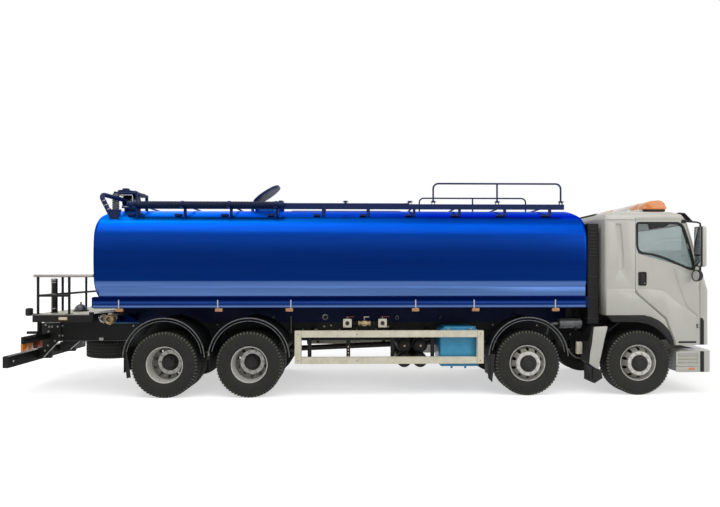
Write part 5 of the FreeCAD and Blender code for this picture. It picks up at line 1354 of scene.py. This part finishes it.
def rear_end_parts():
    """Under-run bar with its bolted legs and lamp boards, tail lamps, reflector and blank plate."""
    low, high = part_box("underrun_guard")
    parts = [
        block("frame_black", low, (low.x + 0.1, high.y, 0.68), 0.012),
        # thin pale strip along the bar's top edge: a painted highlight
        block(
            "edge_steel", (low.x + 0.084, low.y + 0.004, 0.672), (low.x + 0.1025, high.y - 0.004, 0.6815), 0.002)]
    for sign in (-1, 1):
        inner, outer = (-0.444, -0.448) if sign < 0 else (0.432, 0.442)
        # the pale strips on the leg's and brace's diagonal edges are painted highlights
        for finish, outline, y, depth, bevel in (
                ("frame_black", LEG, inner, 0.012, 0.003), ("clear_lens", LEG_HIGHLIGHT, outer, 0.006, 0.001),
                ("frame_black", BRACE, inner, 0.012, 0.003),
                ("clear_lens", BRACE_HIGHLIGHT, outer, 0.006, 0.001)):
            parts.append(outline_plate(finish, outline, y, depth, bevel))
        for x0, x1, near, far, z0, z1, bevel in (
                (low.x + 0.29, low.x + 0.31, 0.43, 1.135, 0.868, 0.965, 0.004),
                (-5.78, -5.56, 0.66, 0.74, 0.985, 1.028, 0.006), (-5.6, -5.565, 0.66, 0.74, 0.95, 1.2, 0.006),
                (-5.775, -5.557, 0.35, 0.43, 0.52, 0.818, 0.005)):
            y0, y1 = sorted((near * sign, far * sign))
            parts.append(block("frame_black", (x0, y0, z0), (x1, y1, z1), bevel))
    finish_piece("underrun_bar", parts, "chassis", "black_steel", "underrun_guard")
    both_sides(
        "leg_bolts_{}",
        row_of(bolt("bare_steel", (0, -1, 0), 0.012, 0.009), [(x, -0.444, z) for x, z in LEG_BOLTS]), "chassis",
        "steel")
    bar_bolts = [(low.x + 0.1, y, 0.585) for y in (-1.08, -0.39, 0.39, 1.08)]
    finish_piece("bar_bolts", row_of(bolt("clear_lens", (1, 0, 0), 0.012, 0.008), bar_bolts), "chassis", "steel")

    x = low.x + 0.25
    lamp = blocks(
        (x, 0, 0),
        ("plastic_black", (0.006, -1.14, 0.868), (0.0395, -0.59, 0.985), 0.008),
        ("amber_lens", (0, -1.14, 0.742), (0.038, -0.985, 0.869), 0.01),
        ("marker_amber", (0, -0.983, 0.742), (0.038, -0.85, 0.869), 0.01),
        ("red_lens", (0, -0.76, 0.742), (0.038, -0.68, 0.869), 0.01),
        ("marker_amber", (0, -0.678, 0.742), (0.038, -0.59, 0.869), 0.01),
        ("plastic_black", (0.004, -0.852, 0.75), (0.036, -0.758, 0.975), 0.006))
    for y in (-1.06, -0.915, -0.72, -0.635):
        lamp.append(lathe_x(
            "clear_lens",
            [(0.002, 0.03), (-0.001, 0.032), (-0.001, 0.04), (0.002, 0.042)], (x, y, 0.806), 32))
    both_sides("tail_lamp_{}", lamp, "chassis", "lamp_amber", "lamps")
    finish_piece(
        "rear_plate",
        blocks(
            (low.x, 0, 0),
            ("plastic_black", (-0.0005, -0.28, 0.5), (0.006, 0.28, 0.665), 0.003),
            ("cab_white_painted_shade", (-0.004, -0.26, 0.515), (0.002, 0.26, 0.65), 0.002)), "chassis", "black_plastic")
    both_sides(
        "rail_reflector_{}",
        blocks(
            (0, RAIL_FACE, 0),
            ("clear_lens", (-4.7, -0.01, 0.833), (-4.622, 0, 0.884), 0.004),
            ("plastic_black", (-4.708, -0.005, 0.826), (-4.614, 0.0015, 0.891), 0.003)), "chassis", "lamp_clear")


def platform_parts():
    """Chequered deck, skirts, bright rails, dome, work lamp and side marker of the rear platform."""
    low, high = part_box("rear_platform")
    left, rear, front, top = low.y, low.x, high.x, low.z + 0.206
    rail = high.z - 0.02
    finish_piece(
        "deck",
        block(
            "deck_steel", (rear - 0.002, left - 0.002, top - 0.01), (front, high.y + 0.002, top + 0.003), 0.0025),
        "chassis", "steel")
    both_sides(
        "platform_skirt_{}",
        [
            block(
                "frame_black", (rear - 0.004, left - 0.004, top - 0.128), (front - 0.01, left + 0.01, top - 0.01)),
            block(
                "edge_steel", (rear - 0.004, left - 0.006, top - 0.016), (front - 0.01, left - 0.003, top - 0.01),
                0.001),
            block(
                "frame_black", (front - 0.055, left - 0.006, top - 0.1),
                (front + 0.005, left + 0.04, top + 0.035))], "chassis", "black_steel")
    finish_piece(
        "rear_skirt",
        block("frame_black", (rear - 0.006, left, top - 0.128), (rear + 0.006, high.y, top - 0.01)), "chassis",
        "black_steel")
    both_sides(
        "platform_top_rail_{}",
        rod("bare_steel", (rear - 0.002, -1.11, rail), (front, -1.11, rail), 0.0225, 0.004, 24), "chassis",
        "steel")
    finish_piece(
        "rear_top_rail",
        rod("bare_steel", (rear + 0.063, -1.11, rail), (rear + 0.063, 1.11, rail), 0.0225, 0.004, 24), "chassis",
        "steel")
    foot = block("frame_black", (-0.045, -1.155, top), (0.045, -1.065, top + 0.01), 0.003)
    both_sides("post_feet_{}", row_of(foot, [(rear + 0.063, 0, 0), (rear + 0.567, 0, 0)]), "chassis", "black_steel")
    x, y = -4.985, -0.5
    finish_piece(
        "valve_dome",
        [
            lathe_z("edge_steel", DOME, (x, y, top + 0.006)),
            lathe_z("plastic_black", DOME_RING, (x, y, top + 0.002)),
            rod("brass", (x, y, top + 0.12), (x, y, top + 0.165), 0.016, 0.003, 24)], "chassis", "cast_steel")
    both_sides(
        "work_lamp_{}",
        blocks(
            (0, 0, 0),
            ("plastic_black", (-5.552, -1.135, 1.325), (-5.47, -1.035, 1.455), 0.022),
            ("clear_lens", (-5.558, -1.125, 1.338), (-5.548, -1.045, 1.442), 0.004),
            ("frame_black", (-5.475, -1.1, 1.345), (rear + 0.01, -1.07, 1.365), 0.004)), "chassis",
        "black_plastic")
    both_sides(
        "platform_marker_{}",
        blocks(
            (0, left, 0),
            ("guard_cream", (-4.992, -0.02, 1.266), (-4.866, -0.004, 1.306), 0.006),
            ("marker_amber", (-5.0, -0.008, 1.26), (-4.858, -0.002, 1.312), 0.003)), "chassis", "lamp_amber")


def outlet(x, y, z, radius):
    """Square flange with a round mouth and four bolts, its body and stub, and a red lever on a stem."""
    mouth = [(0.0, 0.8), (0.016, 0.8), (0.018, 0.98), (0.01, 1.08), (0.0, 1.08)]
    dark = [(0.009, 0.001), (0.009, radius * 0.8), (-0.004, radius * 0.8), (-0.004, 0.001)]
    spots = [(x + dx, y - 0.004, z + dz) for dx in (-0.052, 0.052) for dz in (-0.052, 0.052)]
    return blocks((x, y, z), ("guard_cream", (-0.07, -0.005, -0.07), (0.07, 0.012, 0.07), 0.005)) + [
        lathe("bare_steel", [(out, radius * share) for out, share in mouth], (x, y, z), 48),
        lathe("seal_rubber", dark, (x, y, z), 40),
        row_of(bolt("bare_steel", (0, -1, 0), 0.007, 0.006), spots),
    ] + blocks((x, y, z), ("guard_cream", (-0.06, 0.01, -0.06), (0.06, 0.13, 0.06), 0.006),
    ("handle_red", (-0.03, 0.035, 0.098), (0.115, 0.06, 0.106), 0.003)) + [
        rod("guard_cream", (x, y + 0.12, z), (x, -0.43, z), 0.035),
        rod("bare_steel", (x, y + 0.048, z + 0.055), (x, y + 0.048, z + 0.104), 0.008)]


def pipework():
    """Side outlets with the ball valve between them, rear couplings with their pipe, and the banded riser."""
    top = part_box("water_pipework")[1].z
    y, z = -1.13, 1.2
    rear, front, valve = -0.305, 0.275, (-0.025, y + 0.075, z)
    parts = outlet(rear, y, z, 0.038) + outlet(front, y, z, 0.038)
    parts += [
        rod("frame_black", (rear, y + 0.17, z), (front, y + 0.17, z), 0.032),
        lathe_x("brass", VALVE, (valve[0], valve[1], z - 0.004), 40),
        rod("bare_steel", (valve[0], valve[1], z + 0.04), (valve[0], valve[1], z + 0.105), 0.01)]
    parts += blocks(valve, ("guard_cream", (-0.01, -0.025, 0.09), (0.08, 0.025, 0.102), 0.003))
    x, z = TANK_REAR + 0.22, 1.275
    parts += [
        rod("guard_cream", (x, -0.93, z), (x, RAIL_FACE, z), 0.06, 0.003),
        rod("cab_white_painted_shade", (x - 0.15, -1.105, z + 0.105), (x + 0.105, -1.105, z + 0.135), 0.017, 0.004, 24)]
    parts += blocks((x, 0, z), ("cab_white_painted_shade", (0.005, -1.125, 0.07), (0.075, -1.06, 0.098), 0.006))
    for dx, dz, radius, finish in ((-0.075, 0.004, 0.062, "bare_steel"), (0.03, -0.008, 0.08, "brass")):
        profile = [(out, radius * share) for out, share in COUPLING] + [
            (-0.08, 0.001), (-0.05, 0.001), (-0.05, radius * 0.56)]
        parts.append(lathe(finish, profile, (x + dx, -1.118, z + dz), 48))
        for angle in (0.7, 2.8, 4.9):
            lug = (x + dx + math.cos(angle) * radius * 0.98, 0, z + dz + math.sin(angle) * radius * 0.98)
            parts += blocks(lug, (finish, (-0.012, -1.135, -0.012), (0.012, -1.085, 0.012), 0.004))
    x, y, foot = -5.265, -0.82, 1.354
    parts += [
        rod("frame_black", (x + 0.012, y, foot), (x + 0.012, y, top - 0.004), 0.043, 0.004, 36),
        rod("guard_cream", (x - 0.036, y + 0.01, foot), (x - 0.036, y + 0.01, top - 0.03), 0.018, 0.003, 24)]
    clip = [(0.0, 0.044), (0.0, 0.0505), (0.018, 0.0505), (0.018, 0.044)]
    cap = [(-0.035, 0.001), (-0.035, 0.05), (-0.01, 0.052), (0.0, 0.04), (0.0, 0.001)]
    for profile, height in ((clip, 1.42), (clip, 1.66), (clip, 1.86), (cap, top)):
        parts.append(lathe_z("bare_steel", profile, (x + 0.004, y, height), 36))
    parts.append(lathe_z(
        "frame_black",
        [(0.0, 0.001), (0.0, 0.054), (0.012, 0.054), (0.016, 0.046), (0.016, 0.001)], (x, y, foot), 36))
    finish_piece("pipework_parts", smooth(joined(parts), 40), "chassis", "guard_paint", "water_pipework")


def mudguard_trim():
    """Two bright rolled edges on each guard."""
    def arc(radius, y, first, last):
        turns = [math.radians(angle) for angle in range(first, last + 1, 7)]
        return [Vector((axle + radius * math.cos(turn), y, GUARD_HEIGHT + radius * math.sin(turn)))
            for turn in turns]

    for name, axle, outer in (("second", AXLE_2, 1.2), ("third", AXLE_3, 1.25), ("fourth", AXLE_4, 1.25)):
        trim = [
            pipe("edge_steel", arc(GUARD_RADIUS + 0.001, -outer - 0.002, 2, 178), 0.009, resolution=2),
            pipe("edge_steel", arc(GUARD_RADIUS - 0.046, -outer + 0.012, 8, 172), 0.007, resolution=2)]
        both_sides(f"guard_edges_{name}_{{}}", trim, "chassis", "black_steel")


def fender_panels():
    """Painted panel on the guard behind the first wheel, rubber flaps, a pale box and a stay rod."""
    both_sides(
        "fender_panel_{}",
        outline_plate("cab_white_painted_shade", softened([(AXLE_1 + x, z) for x, z in FENDER], 0.02, 2), -1.2235, 0.012),
        "chassis", "cab_paint")
    flaps = [outline_plate("seal_rubber", points, y, depth) for points, y, depth in FLAPS]
    flaps += blocks((AXLE_1, 0, 0), ("guard_cream", (-0.963, -1.01, 0.66), (-0.868, -0.96, 0.865), 0.006))
    flaps.append(rod("edge_steel", (-1.27, -0.8, 0.996), (-1.27, -0.8, 1.29), 0.01))
    both_sides("wheel_flaps_{}", flaps, "chassis", "black_plastic")


def spare_and_carrier():
    """Dished rim of the spare wheel, its winch and its carrier."""
    low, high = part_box("spare_wheel")
    x = ((low + high) / 2).x
    parts = [
        lathe_z("wheel_silver", SPARE_DISH, (x, 0, low.z + 0.03), 72),
        rod("bare_steel", (x, 0, low.z + 0.02), (x, 0, high.z), 0.012, 0.001, 16),
        rod("cast_iron", (x, 0, low.z + 0.012), (x, 0, low.z + 0.05), 0.045, 0.005, 6),
        block("frame_black", (x - 0.06, -0.42, 0.88), (x + 0.06, 0.42, high.z), 0.006)]
    for y in (-0.3, 0.3):
        parts.append(block("frame_black", (x - 0.03, y - 0.02, low.z + 0.3), (x + 0.03, y + 0.02, 0.9)))
    finish_piece("spare_parts", parts, "chassis", "wheel_steel", "spare_wheel")


def air_drums():
    """Domed drums with two straps and a plug each."""
    parts = []
    y0, y1, radius = -1.06, -0.45, 0.12
    dome = [
        (-y0, 0.001), (-y0, radius * 0.35), (-y0 - 0.02, radius * 0.82), (-y0 - 0.045, radius - 0.003),
        (-y0 - 0.075, radius), (-y1 + 0.045, radius), (-y1 + 0.015, radius * 0.82), (-y1, radius * 0.35),
        (-y1, 0.001)]
    for x, z in ((0.645, 0.565), (0.645, 0.815), (0.915, 0.565), (0.915, 0.815)):
        parts.append(lathe("frame_black", dome, (x, 0, z), 56))
        for share in (0.25, 0.75):
            out = -y0 - (y1 - y0) * share
            strap = [
                (out - 0.016, radius - 0.001), (out - 0.016, radius + 0.004), (out + 0.016, radius + 0.004),
                (out + 0.016, radius - 0.001)]
            parts.append(lathe("edge_steel", strap, (x, 0, z), 40))
        parts.append(rod("brass", (x, y0 + 0.006, z), (x, y0 - 0.01, z), 0.018, 0.002, 6))
    finish_piece("air_drums", smooth(joined(parts), 40), "chassis", "black_steel", "air_reservoirs")


def blue_tank():
    """Ribbed tank with its shoulder, lid, keel, drains and latches."""
    low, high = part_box("auxiliary_tank")
    rear, front, side, back = low.x + 0.02, high.x - 0.035, low.y, high.y
    rows = [((rear, side, 0.508), (front, back, 0.99), 0.024)]
    for share in (0.06, 0.5, 0.94):
        x = rear + (front - rear) * share
        rows.append(((x - 0.01, side - 0.0045, 0.53), (x + 0.01, side + 0.002, 0.97), 0.004))
    rows += [((rear + 0.03, side - 0.003, z), (front - 0.03, side + 0.002, z + 0.006), 0.0015)
        for z in (0.66, 0.82)]
    rows += [
        ((rear + 0.012, side + 0.004, 0.975), (front - 0.03, back - 0.01, 1.092), 0.03),
        ((rear + 0.07, side + 0.035, 1.08), (front - 0.085, back - 0.05, 1.133), 0.016),
        ((rear + 0.055, side + 0.02, 1.09), (front - 0.07, back - 0.04, 1.102), 0.004),
        ((rear + 0.012, side + 0.005, 0.474), (front - 0.03, back - 0.02, 0.514), 0.01)]
    parts = [block("sky_blue", *row) for row in rows]
    parts += [rod("sky_blue", (x, side + 0.05, 0.436), (x, side + 0.05, 0.48), 0.018, 0.002, 20)
        for x in (rear + 0.2, rear + 0.43)]
    parts += [block("bare_steel", (x - 0.016, side + 0.012, 1.06), (x + 0.016, side + 0.026, 1.11), 0.003)
        for x in (rear + 0.14, front - 0.16)]
    finish_piece("blue_tank", parts, "chassis", "sky_paint", "auxiliary_tank")


def fuel_tank():
    low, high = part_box("fuel_tank")
    parts = [block("bare_steel", low, high, 0.075)]
    for share in (0.22, 0.78):
        x = low.x + (high.x - low.x) * share
        parts.append(block(
            "frame_black", (x - 0.028, low.y - 0.004, low.z - 0.004), (x + 0.028, high.y + 0.004, high.z + 0.004),
            0.078))
    parts += [
        lathe_z("plastic_black", FILLER, (high.x - 0.16, high.y - 0.12, high.z - 0.006), 40),
        block(
            "deck_steel", (low.x + 0.36, high.y - 0.14, high.z - 0.002),
            (low.x + 0.86, high.y - 0.01, high.z + 0.012))]
    finish_piece("fuel_tank_parts", parts, "chassis", "steel", "fuel_tank")


def silencer_and_intake():
    """Ribbed drum with its tail pipe, and louvres and bands on the intake."""
    low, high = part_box("silencer")
    _, y, z = (low + high) / 2
    rib = ((0, 0.0795), (0.007, 0.0845), (0.014, 0.0845), (0.021, 0.0795))
    profile = [(low.x, 0.001), (low.x, 0.07), (low.x + 0.012, 0.08)] + ridges(
        low.x + 0.02, high.x - 0.03, 0.026, rib)
    profile += [(high.x - 0.012, 0.08), (high.x, 0.07), (high.x, 0.001)]
    path = [
        (low.x + 0.01, y, z), (low.x - 0.1, y, z), (low.x - 0.16, y + 0.05, z - 0.06),
        (low.x - 0.17, y + 0.1, z - 0.2)]
    finish_piece(
        "silencer_drum",
        smooth(
            joined([
                lathe_x("edge_steel", profile, (0, y, z), 44),
                pipe("edge_steel", path, 0.03, smooth_path=True)]), 45), "chassis", "steel", "silencer")
    low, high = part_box("air_intake")
    parts = []
    for index in range(9):
        z = 2.3 + index * 0.055
        parts += [
            block("plastic_black", (high.x - 0.01, low.y + 0.05, z), (high.x + 0.012, low.y + 0.36, z + 0.026)),
            block("plastic_black", (low.x + 0.02, low.y - 0.008, z), (high.x - 0.02, low.y + 0.01, z + 0.026))]
    for z in (1.25, 1.6, 1.95):
        parts.append(block(
            "seal_rubber", (low.x - 0.004, low.y - 0.005, z), (high.x + 0.004, low.y + 0.2, z + 0.028), 0.003))
    finish_piece("intake_louvres", parts, "chassis", "black_plastic")


def guard_details():
    """Seams and bolts of the cream side guards, and drilled straps behind them."""
    low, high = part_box("side_guards")
    y = low.y
    parts = [block("seal_rubber", (x, y - 0.0012, low.z + 0.002), (x + 0.003, y + 0.001, high.z - 0.002), 0)
        for x in (low.x + 0.104, high.x - 0.108)]
    spots = [
        (x, y - 0.001, z)
        for x in (low.x + 0.055, low.x + 1.02, high.x - 0.055) for z in (low.z + 0.052, high.z - 0.052)]
    parts.append(row_of(bolt("bare_steel", (0, -1, 0), 0.008, 0.006), spots))
    both_sides("side_guard_bolts_{}", parts, "chassis", "steel")
    straps = []
    for x in (-0.93, -0.29, 0.44, 1.105):
        straps += blocks(
            (x, 0, 0),
            ("frame_black", (-0.032, -1.105, 0.56), (0.032, -1.085, 1.06), 0.004),
            ("frame_black", (-0.02, -1.09, 1.01), (0.02, RAIL_FACE, 1.05), 0.004))
    straps += [rod(
        "guard_cream", (-0.29, -1.107, 0.6 + step * 0.052), (-0.29, -1.104, 0.6 + step * 0.052), 0.011, 0, 16)
        for step in range(5)]
    both_sides("guard_straps_{}", straps, "chassis", "black_steel")


for build in (
        stage, wheels, cab_skin, side_panels, door_handles, cab_front, step_boxes, mirrors, light_bar,
        cab_interior, trays, tank_fittings, hose, pump_and_cage, walkway_parts, rail_details, rear_end_parts,
        platform_parts, pipework, mudguard_trim, fender_panels, spare_and_carrier, blue_tank, fuel_tank,
        air_drums, silencer_and_intake, guard_details):
    build()
